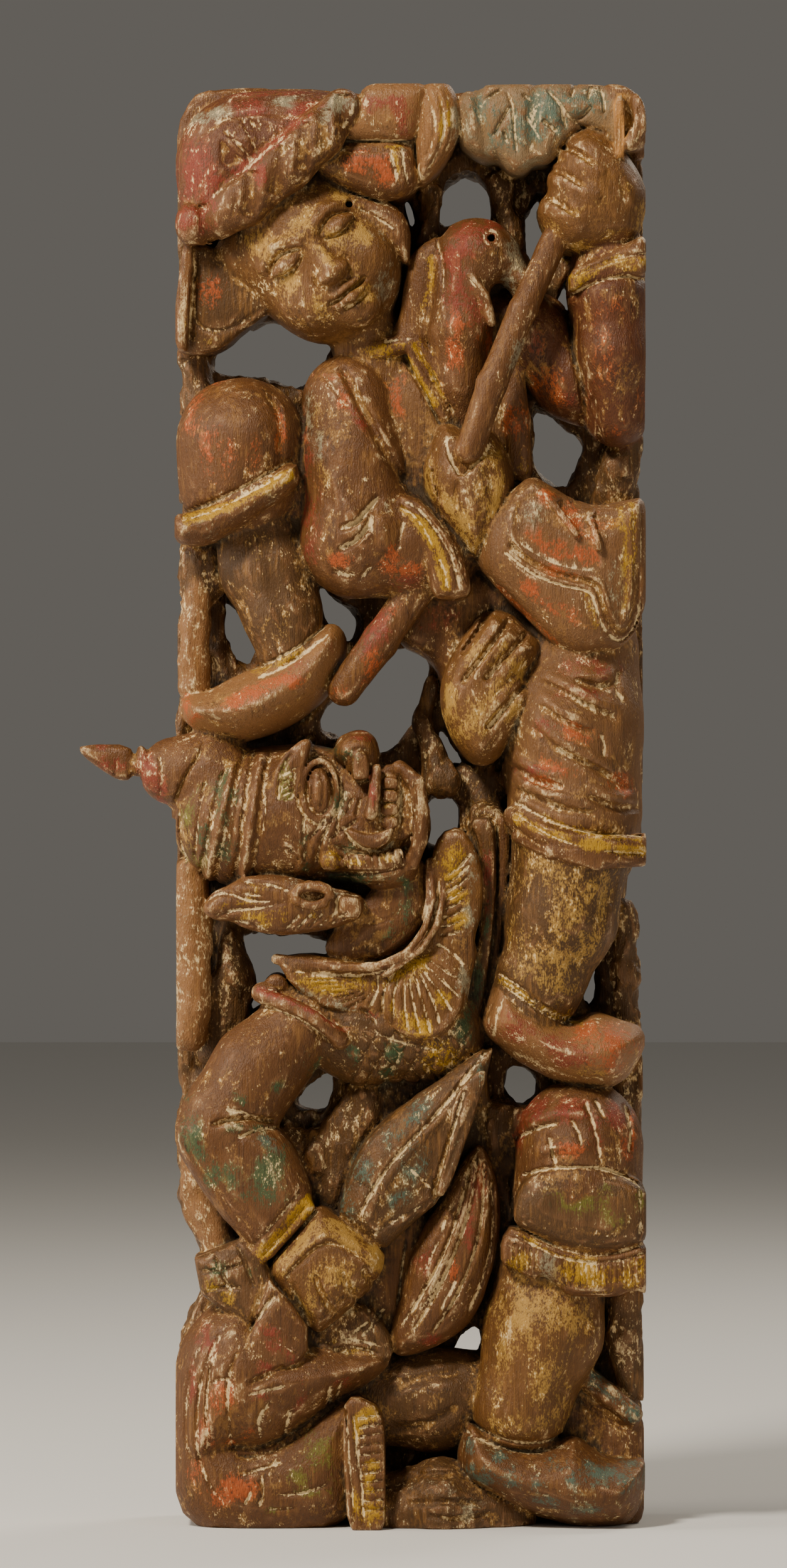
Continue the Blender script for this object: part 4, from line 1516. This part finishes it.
def paint_standing_leg():
    dabs("red", "thigh", [
        (74, 356, 12, 6), (62, 346, 5, 4), (73, 346, 12, 3, 20), (48, 314, 6, 5), (56, 332, 5, 5),
    ], 0.8)
    dabs("orange", "thigh", [
        (88, 308, 7, 5), (53, 310, 8, 3, 20), (68, 330, 10, 4, 15), (60, 315, 9, 3, 15),
    ], 0.85)
    brush("yellow", "thigh_hem", 5, [[(44, 294), (55, 289), (70, 284), (95, 281)]])
    brush("yellow", "thigh_hem thigh", 3, [[(52, 296), (65, 290), (80, 287), (95, 286)]], 0.9)
    dabs("gold", "shaft_right", [
        (56, 272, 14, 9), (50, 284, 10, 6), (78, 264, 8, 10), (64, 252, 8, 10), (52, 232, 14, 8),
        (72, 240, 6, 14, 30), (44, 244, 5, 12), (62, 226, 10, 8),
    ], 0.7)
    dabs("red", "boot_right", [(45, 206, 12, 6), (60, 204, 9, 5), (40, 214, 4, 6), (66, 196, 10, 5)], 0.85)
    dabs("gold", "boot_right", [(90, 196, 6, 6), (76, 190, 9, 3), (40, 206, 5, 3)], 0.6)
    dabs("orange", "boot_right", [(84, 201, 11, 8), (72, 206, 8, 5), (58, 209, 6, 4), (82, 194, 9, 5)], 0.9)
    brush("yellow", "boot_right shaft_right", 4.5, [[(38, 227), (50, 218), (60, 212), (70, 210)]])


def paint_open_hand():
    dabs("gold", "open_hand", [
        (30, 338, 8, 8), (36, 348, 5, 9, 45), (43, 357, 6, 4, 45), (28, 364, 4, 9, 38),
        (42, 339, 6, 3, -40), (34, 362, 3, 8, 42), (22, 330, 6, 5), (16, 345, 3, 10),
    ])


def paint_helmet():
    dabs("green", "helmet", [
        (-79, 308, 3, 8, 20), (-74, 303, 3, 5), (-78, 294, 3.5, 5), (-86, 288, 3, 9), (-76, 281, 5, 6),
        (-44, 283, 2.5, 8),
    ], 0.9)
    dabs("olive", "helmet", [(-90, 277, 6, 6), (-88, 310, 6, 5), (-93, 296, 4, 8)], 0.75)
    dabs("gold", "helmet spear", [
        (-84, 304, 5, 10), (-94, 288, 4, 8), (-88, 322, 8, 5), (-72, 318, 6, 5),
    ], 0.6)
    dabs("red", "spear", [
        (-126, 318, 7, 4, 20), (-110, 314, 4, 8), (-104, 306, 3, 7), (-130, 324, 6, 2),
    ], 0.85)


def paint_guardian_face():
    dabs("olive", "brow", [(-51.5, 305, 3, 13)], 0.95)
    dabs("green", "beast helmet nose", [
        (-34, 324, 4, 3), (-28, 321, 5, 4), (-30, 302, 3, 7), (-28, 282, 4, 3), (-44, 275, 3, 3),
    ], 0.85)
    dabs("red", "nose beast", [(-20, 328, 5, 3), (-16, 306, 2, 8)], 0.9)
    dabs("gold", "teeth", [(-9, 305, 3, 2), (-9, 294, 3, 2), (-10, 300, 2, 1.5)], 0.9)
    dabs("yellow", "beast beard helmet", [(-34, 277, 4.5, 4.5), (-24, 276, 5, 2), (-10, 278, 4, 2)], 0.95)
    brush("green", "beast neck_low helmet", 4.5, [[(-34, 270), (-18, 269), (-5, 271), (-1, 266)]], 0.9)
    dabs("green", "neck_low", [(-4, 256, 4, 9), (-8, 246, 4, 6)], 0.7)


def paint_collar_and_ornament():
    dabs("yellow", "ornament", [
        (-62, 266, 6, 2.5), (-78, 259, 3.5, 3), (-66, 260, 6, 2), (-62, 254, 9, 2.5), (-54, 255, 6, 3),
        (-60, 251, 5, 2), (-42, 254, 5, 2),
    ], 0.85)
    dabs("grey", "ornament", [(-48, 266, 4, 3), (-32, 263, 3, 3)], 0.8)
    dabs("yellow", "collar", [
        (-36, 225, 13, 4, 12), (-22, 226, 9, 4), (-6, 228, 9, 4), (4, 233, 7, 4), (-2, 210, 6, 5),
        (13, 220, 4, 4), (9, 236, 5, 3), (16, 273, 4, 6), (19, 262, 6, 3), (17, 281, 6, 4),
        (19, 252, 6, 3), (-8, 218, 3, 5), (4, 208, 4, 4),
    ], 0.95)
    dabs("grey", "collar", [
        (26, 272, 2.5, 12), (24, 254, 3, 6), (-30, 216, 8, 3, 14), (21, 226, 3, 7), (-44, 222, 5, 3, 40),
    ], 0.85)
    brush("red", "collar_roll", 2, [[(-24, 232), (-6, 234), (4, 243), (9, 256), (10, 271)]], 0.95)
    brush("red", "shoulder_hem", 4.5, [[(-64, 223), (-50, 219), (-40, 215), (-28, 207)]])
    dabs("red", "waist", [(-16, 214, 5, 3), (22, 238, 6, 4)], 0.9)
    dabs("red", "strip", [(31, 266, 4, 16)], 0.9)
    dabs("green", "strip waist", [(32, 250, 2.5, 6), (27, 224, 3, 10), (22, 208, 4, 8)], 0.9)


def paint_lower_arm():
    dabs("green", "lower_sleeve", [
        (-91, 165, 4, 10), (-88, 156, 4, 5), (-80, 149, 9, 4, 10), (-59, 147, 5, 9), (-62, 138, 9, 5),
        (-70, 166, 12, 2), (-53, 156, 4, 4), (-56, 183, 3, 3), (-70, 178, 5, 2.5, 30), (-38, 192, 6, 8),
        (-93, 179, 2.5, 3), (-84, 145, 4, 6),
    ], 0.85)
    dabs("teal", "lower_sleeve", [(-60, 161, 5, 2.5)], 0.8)
    brush("yellow", "lower_cuff lower_sleeve", 7, [[(-63, 113), (-52, 125), (-42, 136)]])
    brush("gold", "fist_low", 9, [[(-56, 108), (-46, 120), (-36, 127), (-24, 120), (-13, 111)]])
    dabs("gold", "fist_low", [(-34, 105, 12, 6), (-42, 94, 6, 6), (-24, 104, 6, 5)], 0.72)


def paint_blade_and_belt():
    dabs("teal", "blade", [
        (-6, 165, 12, 5, -38), (1, 172, 6, 4), (6, 176, 5, 3), (-20, 148, 5, 6), (-27, 135, 4, 6),
        (28, 191, 3, 6), (4, 157, 6, 8), (-2, 148, 5, 4), (-6, 138, 4, 3),
    ], 0.8)
    dabs("green", "scales waist", [(-7, 197, 5, 5), (-10, 188, 4, 4), (-24, 196, 3, 5)], 0.95)
    dabs("yellow", "scales waist", [(12, 195, 8, 6)], 0.95)
    dabs("green", "hilt", [(-80, 107, 5, 4), (-66, 106, 4, 3)], 0.75)
    dabs("yellow", "hilt", [(-83, 101, 5, 4), (-77, 96, 4, 3)], 0.85)
    dabs("red", "pommel", [(-58, 82, 8, 2.5, 32), (-54, 74, 8, 3, 32)], 0.95)
    dabs("yellow", "belt", [(-32, 76, 3, 2.5), (-22, 73, 5, 2.5)], 0.85)
    dabs("grey", "belt", [(-25, 69, 4, 2), (-34, 72, 4, 3)], 0.8)
    dabs("red", "sash", [
        (27, 135, 3, 12), (24, 120, 2.5, 8), (6, 110, 5, 6), (22, 128, 3, 8), (8, 78, 5, 3),
    ], 0.85)
    dabs("orange", "sash", [(29, 144, 2.5, 6), (18, 107, 3, 6)], 0.8)


def paint_armoured_leg():
    dabs("red", "armour_knee", [
        (50, 172, 10, 6, -30), (44, 162, 4, 7), (64, 173, 10, 5), (85, 172, 5, 6), (76, 165, 3, 8),
    ], 0.9)
    dabs("orange", "armour_knee", [(91, 160, 4, 8), (67, 158, 8, 3), (92, 170, 2, 5)], 0.8)
    dabs("olive", "tier", [(70, 136, 14, 6), (84, 130, 5, 5), (94, 137, 3, 5), (80, 140, 3, 4)], 0.95)
    dabs("yellow", "fringe", [(44, 111, 6, 4), (70, 107, 8, 6), (84, 106, 10, 6), (93, 109, 5, 5)], 0.95)
    dabs("grey", "fringe", [(57, 110, 4, 6)], 0.8)
    brush("yellow", "tier fringe", 2.5, [[(43, 123), (54, 117), (64, 112), (78, 112), (92, 115)]], 0.7)
    dabs("gold", "shaft_low", [
        (50, 90, 16, 10), (66, 88, 10, 10), (38, 62, 5, 12), (54, 62, 10, 9), (44, 76, 10, 6),
        (50, 44, 12, 6),
    ], 0.8)
    dabs("teal", "boot_low", [
        (28, 23, 7, 5), (40, 22, 6, 4), (90, 22, 8, 7), (76, 24, 9, 5), (60, 27, 6, 3), (66, 20, 3, 4),
        (36, 30, 3, 3), (52, 19, 3, 3), (56, 12, 6, 2.5), (74, 8, 5, 2), (24, 34, 2, 4),
    ], 0.9)
    dabs("grey", "mound", [(8, 14, 12, 7), (24, 8, 8, 5)], 0.55)


def paint_kneeling_leg():
    dabs("teal", "rock", [(82, 57, 13, 4, 35), (92, 47, 5, 4), (72, 64, 4, 4)], 0.85)
    dabs("orange", "low_thigh", [
        (-79, 55, 7, 8), (-80, 49, 5, 4), (-67, 41, 4, 3), (-80, 33, 3, 4), (-75, 34, 2, 4),
        (-86, 42, 3, 6),
    ], 0.95)
    dabs("red", "low_thigh", [
        (-85, 78, 4, 8, -20), (-91, 60, 2, 12), (-88, 44, 3, 10), (-60, 68, 6, 3), (-46, 56, 3, 9),
        (-28, 61, 5, 3), (-64, 56, 5, 4),
    ], 0.85)
    dabs("orange", "low_skirt", [(-72, 17, 8, 5), (-80, 13, 7, 4), (-89, 24, 4, 5), (-76, 20, 5, 4)], 0.8)
    dabs("olive", "low_skirt", [
        (-36, 32, 9, 9), (-45, 22, 6, 3), (-40, 15, 9, 2), (-55, 8, 7, 2), (-30, 20, 4, 3),
    ], 0.9)
    dabs("yellow", "strap", [
        (-17, 8, 6, 6), (-17, 16, 4, 2), (-18, 21, 3, 3), (-16, 27, 4, 3), (-23, 45, 2, 6),
        (-23, 12, 2, 6), (-17, 48, 5, 3),
    ], 0.95)


# Hollows are looked for on every second point of the grid, nearby and in a wider box.
COARSE, NEAR_REACH, WIDE_REACH = 2, 1, 5


def blurred(values, radius):
    """The mean over small boxes, taken along each axis in turn, twice."""
    for axis in (0, 1, 2, 0, 1, 2):
        pad = [(radius + 1, radius) if i == axis else (0, 0) for i in range(3)]
        total = np.cumsum(np.pad(values, pad, mode="edge"), axis, dtype=np.float32)
        ahead = np.take(total, np.arange(2 * radius + 1, total.shape[axis]), axis)
        behind = np.take(total, np.arange(total.shape[axis] - 2 * radius - 1), axis)
        values = (ahead - behind) / (2 * radius + 1)
    return values


def hollowness(places):
    """How much wood lies around each place: small hollows and edges, then wide ones."""
    solid = np.clip(0.5 - wood[::COARSE, ::COARSE, ::COARSE] / (COARSE * VOXEL), 0, 1)
    steps = np.round((places - LOW) / (COARSE * VOXEL)).astype(int)
    spots = tuple(np.clip(steps, 0, np.array(solid.shape) - 1).T)
    return blurred(solid, NEAR_REACH)[spots] - 0.5, blurred(solid, WIDE_REACH)[spots] - 0.5


def store(mesh, name, values):
    """Keeps a colour or a number for every vertex under a name."""
    kind, field = ("FLOAT_COLOR", "color") if values.ndim == 2 else ("FLOAT", "value")
    attribute = mesh.attributes.new(name, kind, "POINT")
    attribute.data.foreach_set(field, values.astype(np.float32).ravel())


def linear(red, green, blue):
    """A colour given as on a screen, 0 to 255, made ready for the shader."""
    parts = [v / 255 for v in (red, green, blue)]
    return tuple(v / 12.92 if v <= 0.04045 else ((v + 0.055) / 1.055) ** 2.4 for v in parts) + (1.0,)


COLOURS = {
    "gold": (174, 134, 62), "red": (124, 46, 30), "orange": (168, 76, 30), "yellow": (174, 132, 14),
    "teal": (70, 97, 84), "green": (46, 78, 48), "olive": (98, 96, 26), "grey": (136, 128, 102),
    "chalk": (230, 202, 150), "ochre": (164, 120, 60), "polished": (126, 86, 51),
    "pale": (142, 99, 48), "dark": (42, 25, 10), "soot": (15, 9, 4), "fresh": (178, 124, 60),
    "brown": (90, 55, 23), "golden": (95, 60, 22), "dusky": (78, 51, 21), "strut": (82, 56, 28),
    "ruddy": (86, 46, 21), "faded": (106, 71, 38), "weathered": (128, 88, 50), "ashen": (122, 98, 68),
}
WOOD_TONES = {
    "golden": "face hand fist_top open_hand fist_low shaft_low neck_up collar",
    "dusky": "calf blade tier scales waist belt low_calf mound hilt strip infill flap shaft_right",
    "strut": "struts none",
    "weathered": "post cloth cloth_turn boot_left boot_right",
    "ruddy": "forearm upper_arm cap",
    "faded": "corner skirt thigh jacket",
    "ashen": "leaves",
    "fresh": "splinter",
}


def wood_tones():
    """The colour of the bare wood on every form, before dirt, wear and paint."""
    colours = np.tile(linear(*COLOURS["brown"]), (len(vertex_form), 1))
    for tone, forms in WOOD_TONES.items():
        colours[np.isin(vertex_form, numbers_of(forms))] = linear(*COLOURS[tone])
    return colours


# How readily pale crust shows on some forms, and how much less on the cut sides and the back.
CRUST = {"struts infill": 0.16, "post": 0.25, "cap boot_right cloth": 0.1}
SIDE_CRUST, BACK_CRUST = -0.25, -0.8

# How strongly hollows and edges count, and how little the scoops of the back do.
HOLLOW_GAIN, DEEP_GAIN, DEEP_START, BACK_HOLLOW = 4.0, 3.5, 0.05, 0.3


def crust(at_front, at_back):
    """How readily pale crust shows at every vertex."""
    amount = np.zeros(len(vertex_form))
    for forms, strength in CRUST.items():
        amount[np.isin(vertex_form, numbers_of(forms))] = strength
    near_side = (place_of[:, 0] < LEFT + SIDE_SKIN) | (place_of[:, 0] > RIGHT - SIDE_SKIN)
    amount[near_side & ~at_front] += SIDE_CRUST
    amount[at_back] = BACK_CRUST
    return amount + np.where(at_front, vertex_chalk, 0)


def store_looks(mesh):
    """Keeps the wood, paint, crust, hollows and wear of every vertex for the material."""
    layers = np.stack([paint[name] for name in PAINTS])
    tones = np.array([linear(*COLOURS[name]) for name in PAINTS])
    at_front = place_of[:, 1] < vertex_front + FRONT_SKIN
    at_back = place_of[:, 1] > BACK - BACK_SKIN
    small, wide = hollowness(place_of)
    small[at_back] *= BACK_HOLLOW
    store(mesh, "wood", wood_tones())
    store(mesh, "paint", tones[layers.argmax(0)])
    store(mesh, "cover", layers.max(0))
    store(mesh, "chalk", crust(at_front, at_back))
    store(mesh, "cavity", np.clip(small * HOLLOW_GAIN, 0, 1))
    store(mesh, "wear", np.clip(-small * HOLLOW_GAIN, 0, 1))
    store(mesh, "deep", np.clip((wide - DEEP_START) * DEEP_GAIN, 0, 1))


# The noises of the material: size in millimetres, stretch along the grain, detail and seed.
NOISES = {
    "cloud": (26, 1.5, 3, 1.0), "patch": (8, 1.8, 5, 2.0), "grit": (1.7, 1.7, 3, 3.0),
    "fleck": (0.6, 1.8, 2, 4.0), "streak": (1.3, 16, 3, 5.0), "fibre": (0.38, 34, 2, 6.0),
    "haze": (15, 1.3, 4, 7.0),
}

# What every vertex keeps for the material, next to its two colours.
MASKS = ("cavity", "wear", "deep", "cover", "chalk")


class Shader:
    """A small helper to lay out the nodes of the wood's material."""

    def __init__(self, title):
        self.material = bpy.data.materials.new(title)
        self.material.use_nodes = True
        self.tree = self.material.node_tree
        self.surface = self.tree.nodes["Principled BSDF"]
        self.values = {name: self.noise(*numbers) for name, numbers in NOISES.items()}
        self.values.update({name: self.attribute(name) for name in MASKS})

    def node(self, kind, **settings):
        node = self.tree.nodes.new(kind)
        for key, value in settings.items():
            setattr(node, key, value)
        return node

    def feed(self, value, socket):
        if isinstance(value, bpy.types.NodeSocket):
            self.tree.links.new(value, socket)
        else:
            socket.default_value = value

    def attribute(self, name, output="Fac"):
        return self.node("ShaderNodeAttribute", attribute_name=name).outputs[output]

    def multiply_add(self, value, factor, plus):
        node = self.node("ShaderNodeMath", operation="MULTIPLY_ADD")
        for part, socket in zip((value, factor, plus), node.inputs):
            self.feed(part, socket)
        return node.outputs[0]

    def noise(self, size, stretch, detail, seed):
        """Noise from about -1 to 1 with bumps of a size in millimetres, longer along the grain."""
        where = self.node("ShaderNodeTexCoord").outputs["Object"]
        mapping = self.node("ShaderNodeMapping")
        self.feed(where, mapping.inputs["Vector"])
        mapping.inputs["Scale"].default_value = (1, 1, 1 / stretch)
        mapping.inputs["Location"].default_value = (seed, seed * 0.7, seed * 1.3)
        texture = self.node("ShaderNodeTexNoise")
        self.feed(mapping.outputs[0], texture.inputs["Vector"])
        texture.inputs["Scale"].default_value = 1 / (size * MM)
        texture.inputs["Detail"].default_value = detail
        return self.multiply_add(texture.outputs["Fac"], 4.0, -2.0)

    def total(self, terms, start=0.0):
        """The sum of some noises and masks, each times its factor."""
        result = start
        for name, factor in terms.items():
            result = self.multiply_add(self.values[name], factor, result)
        return result

    def ramp(self, value, low, high, top=1.0):
        node = self.node("ShaderNodeMapRange", clamp=True, interpolation_type="SMOOTHSTEP")
        self.feed(value, node.inputs["Value"])
        node.inputs["From Min"].default_value = low
        node.inputs["From Max"].default_value = high
        node.inputs["To Max"].default_value = top
        return node.outputs["Result"]

    def mix(self, share, under, over):
        node = self.node("ShaderNodeMix", data_type="RGBA", clamp_factor=True)
        self.feed(share, node.inputs[0])
        self.feed(under, node.inputs[6])
        self.feed(over, node.inputs[7])
        return node.outputs[2]

    def layered(self, colour, layers):
        """A colour with some layers of other tones over it."""
        for tone, low, high, strength, terms in layers:
            share = self.ramp(self.total(terms), low, high, strength)
            colour = self.mix(share, colour, linear(*COLOURS[tone]))
        return colour


# Layers of colour: a tone, where it starts and where it is full, its strength, and what it follows.
BARE_LAYERS = (
    ("dark", 0.05, 1.05, 0.82, {"cloud": 0.5, "patch": 0.4, "streak": 0.5}),
    ("pale", -0.1, -1.1, 0.8, {"cloud": 0.5, "patch": 0.4, "streak": 0.5}),
    ("polished", 0.1, 1.1, 0.5, {"haze": 1.0}),
    ("ochre", 0.2, 1.15, 0.7, {
        "patch": 0.6, "grit": 0.5, "fleck": 0.4, "cavity": 1.2, "wear": -0.4, "cloud": 0.5,
    }),
    ("polished", 0.3, 0.9, 0.7, {"wear": 1.0, "patch": 0.3}),
)
WORN_LAYERS = (
    ("dark", 0.35, 1.1, 0.5, {"grit": 0.6, "fleck": 0.6, "streak": 0.3}),
    ("chalk", 0.52, 1.1, 0.9, {
        "fleck": 0.55, "grit": 0.45, "patch": 0.35, "haze": 0.3, "cavity": 0.6, "deep": -0.3, "chalk": 0.3,
    }),
    ("chalk", 0.72, 1.35, 0.6, {"wear": 1.0, "grit": 0.3, "fleck": 0.3, "patch": 0.35, "haze": 0.2}),
    ("chalk", 0.3, 0.72, 0.9, {
        "chalk": 0.95, "cavity": 0.28, "deep": -0.2, "grit": 0.34, "fleck": 0.2, "patch": 0.28,
    }),
    ("dark", 0.1, 1.1, 0.45, {"fibre": 1.0}),
    ("soot", 0.3, 1.2, 0.88, {"cavity": 0.45, "deep": 0.9, "cloud": 0.2, "patch": 0.2, "grit": -0.25}),
)

# Paint breaks up along its edge: what this follows, where paint is near, and where it covers.
PAINT_EDGE = {"cloud": 0.25, "patch": 0.5, "grit": 0.4, "fleck": 0.4, "wear": -0.2}
EDGE_START, NEAR_PAINT, PAINT_RAMP = -0.08, 0.45, (0.35, 0.95, 0.8)

# What makes the surface rougher or smoother, and what stands up in it as fine grain.
ROUGHNESS = {"wear": -0.2, "patch": 0.06, "grit": 0.05, "deep": 0.2}
GRAIN_HEIGHT = {"fibre": 0.36, "grit": 0.32, "fleck": 0.38, "streak": 0.22, "patch": 0.25}
MEAN_ROUGHNESS, SHEEN = 0.56, 0.32
GRAIN_STRENGTH, GRAIN_DEPTH = 0.7, 0.35 * MM


def painted_colour(shader):
    """Bare wood, then worn paint over it, then what age left on both."""
    colour = shader.layered(shader.attribute("wood", "Color"), BARE_LAYERS)
    cover = shader.values["cover"]
    near = shader.ramp(cover, 0.0, NEAR_PAINT)
    ragged = shader.multiply_add(shader.total(PAINT_EDGE, EDGE_START), near, cover)
    share = shader.ramp(ragged, *PAINT_RAMP)
    colour = shader.mix(share, colour, shader.attribute("paint", "Color"))
    return shader.layered(colour, WORN_LAYERS)


def painted_wood():
    shader = Shader("painted_wood")
    shader.feed(painted_colour(shader), shader.surface.inputs["Base Color"])
    shader.feed(shader.total(ROUGHNESS, MEAN_ROUGHNESS), shader.surface.inputs["Roughness"])
    shader.surface.inputs["Specular IOR Level"].default_value = SHEEN
    bump = shader.node("ShaderNodeBump")
    bump.inputs["Strength"].default_value = GRAIN_STRENGTH
    bump.inputs["Distance"].default_value = GRAIN_DEPTH
    shader.feed(shader.total(GRAIN_HEIGHT), bump.inputs["Height"])
    shader.feed(bump.outputs["Normal"], shader.surface.inputs["Normal"])
    return shader.material


# The camera looks straight at the panel from the front. The sizes are those of the picture at
# the depth where most of the carving's front lies.
PICTURE_HEIGHT = 650 * MM
PICTURE_DEPTH = -25 * MM
CAMERA_DISTANCE = 3.2
SENSOR = 24.0

# The floor and the light from all around.
FLOOR_COLOUR, FLOOR_HALF_SIZE, FLOOR_ROUGHNESS = (0.72, 0.71, 0.69, 1), 6.0, 0.8
WORLD_COLOUR, WORLD_STRENGTH = (0.9, 0.84, 0.75, 1), 0.14

# The lights: name, place, size and power. All have one colour and look at the panel's middle.
LIGHTS = (
    ("key", (-0.9, -1.2, 1.7), 0.42, 55), ("fill", (1.4, -1.5, 0.7), 1.2, 6),
    ("left side", (-1.7, -0.15, 0.7), 0.8, 22), ("rim", (1.0, 1.2, 1.4), 0.8, 14),
)
LIGHT_COLOUR = (1.0, 0.91, 0.77)
LIGHT_AIM = (0, 0, 0.3)


def add_camera():
    data = bpy.data.cameras.new("camera")
    camera = bpy.data.objects.new("camera", data)
    bpy.context.scene.collection.objects.link(camera)
    camera.location = (EYE_X * MM, PICTURE_DEPTH - CAMERA_DISTANCE, EYE_Z * MM)
    camera.rotation_euler = (math.radians(90), 0, 0)
    data.sensor_fit = "VERTICAL"
    data.sensor_height = SENSOR
    data.lens = SENSOR * CAMERA_DISTANCE / PICTURE_HEIGHT
    data.clip_end = 50
    bpy.context.scene.camera = camera


def add_light(name, location, size, power):
    data = bpy.data.lights.new(name, "AREA")
    data.shape = "DISK"
    data.size = size
    data.energy = power
    data.color = LIGHT_COLOUR
    light = bpy.data.objects.new(name, data)
    light.location = location
    light.rotation_euler = (Vector(LIGHT_AIM) - Vector(location)).to_track_quat("-Z", "Y").to_euler()
    bpy.context.scene.collection.objects.link(light)


def add_floor():
    half = FLOOR_HALF_SIZE
    mesh = bpy.data.meshes.new("floor")
    corners = [(-half, -half, 0), (half, -half, 0), (half, half, 0), (-half, half, 0)]
    mesh.from_pydata(corners, [], [(0, 1, 2, 3)])
    floor = bpy.data.objects.new("floor", mesh)
    bpy.context.scene.collection.objects.link(floor)
    material = bpy.data.materials.new("floor")
    material.use_nodes = True
    shader = material.node_tree.nodes["Principled BSDF"]
    shader.inputs["Base Color"].default_value = FLOOR_COLOUR
    shader.inputs["Roughness"].default_value = FLOOR_ROUGHNESS
    mesh.materials.append(material)


def add_world():
    world = bpy.data.worlds.new("world")
    world.use_nodes = True
    background = world.node_tree.nodes["Background"]
    background.inputs["Color"].default_value = WORLD_COLOUR
    background.inputs["Strength"].default_value = WORLD_STRENGTH
    bpy.context.scene.world = world


def carve_strokes():
    """All cut lines, from the top of the panel to its foot."""
    for carve_part in (
        carve_cap_and_cloth, carve_leaves, carve_raised_arm, carve_bird, carve_face, carve_jacket,
        carve_sleeve, carve_hand_and_staff, carve_skirt, carve_raised_leg, carve_standing_leg,
        carve_open_hand, carve_helmet, carve_guardian_face, carve_ornament_and_spear, carve_collar,
        carve_lower_arm, carve_blade, carve_sash_and_belt, carve_armoured_leg, carve_kneeling_leg,
        carve_ground,
    ):
        carve_part()


def lay_paint():
    """All paint: thin coats first, then what is left of it form by form."""
    coat("gold", 0.28, "face open_hand hand shaft_right neck_up")
    coat("gold", 0.45, "shaft_low")
    coat("red", 0.16, "cap bird armour_knee boot_right")
    coat("teal", 0.3, "leaves boot_low blade")
    for paint_part in (
        paint_cap_and_cloth, paint_leaves, paint_raised_arm, paint_bird_and_staff,
        paint_jacket_and_sleeve, paint_face_and_hand, paint_skirt, paint_raised_leg,
        paint_standing_leg, paint_open_hand, paint_helmet, paint_guardian_face,
        paint_collar_and_ornament, paint_lower_arm, paint_blade_and_belt, paint_armoured_leg,
        paint_kneeling_leg,
    ):
        paint_part()


add_camera()
add_floor()
add_world()
for light in LIGHTS:
    add_light(*light)

sculpt()
roughen()
front_depth, front_form = front_surface()
relief = np.zeros_like(front_depth)
chalked = np.zeros_like(front_depth)
carve_strokes()
relief[front_depth >= OPEN] = 0
cut_relief(front_depth)
trim_to_plank()

frieze = surface_mesh("frieze_carving")
place_of, normal_of = read_vertices(frieze.data)
vertex_form = owner[cells(place_of + VOXEL * normal_of)]
column = cells(place_of)[::2]
vertex_front, vertex_chalk = front_depth[column], chalked[column]
paint = {name: np.zeros(len(place_of), np.float32) for name in PAINTS}
lay_paint()
store_looks(frieze.data)
frieze.data.materials.append(painted_wood())
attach(frieze, "root")
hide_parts("carved_frieze")
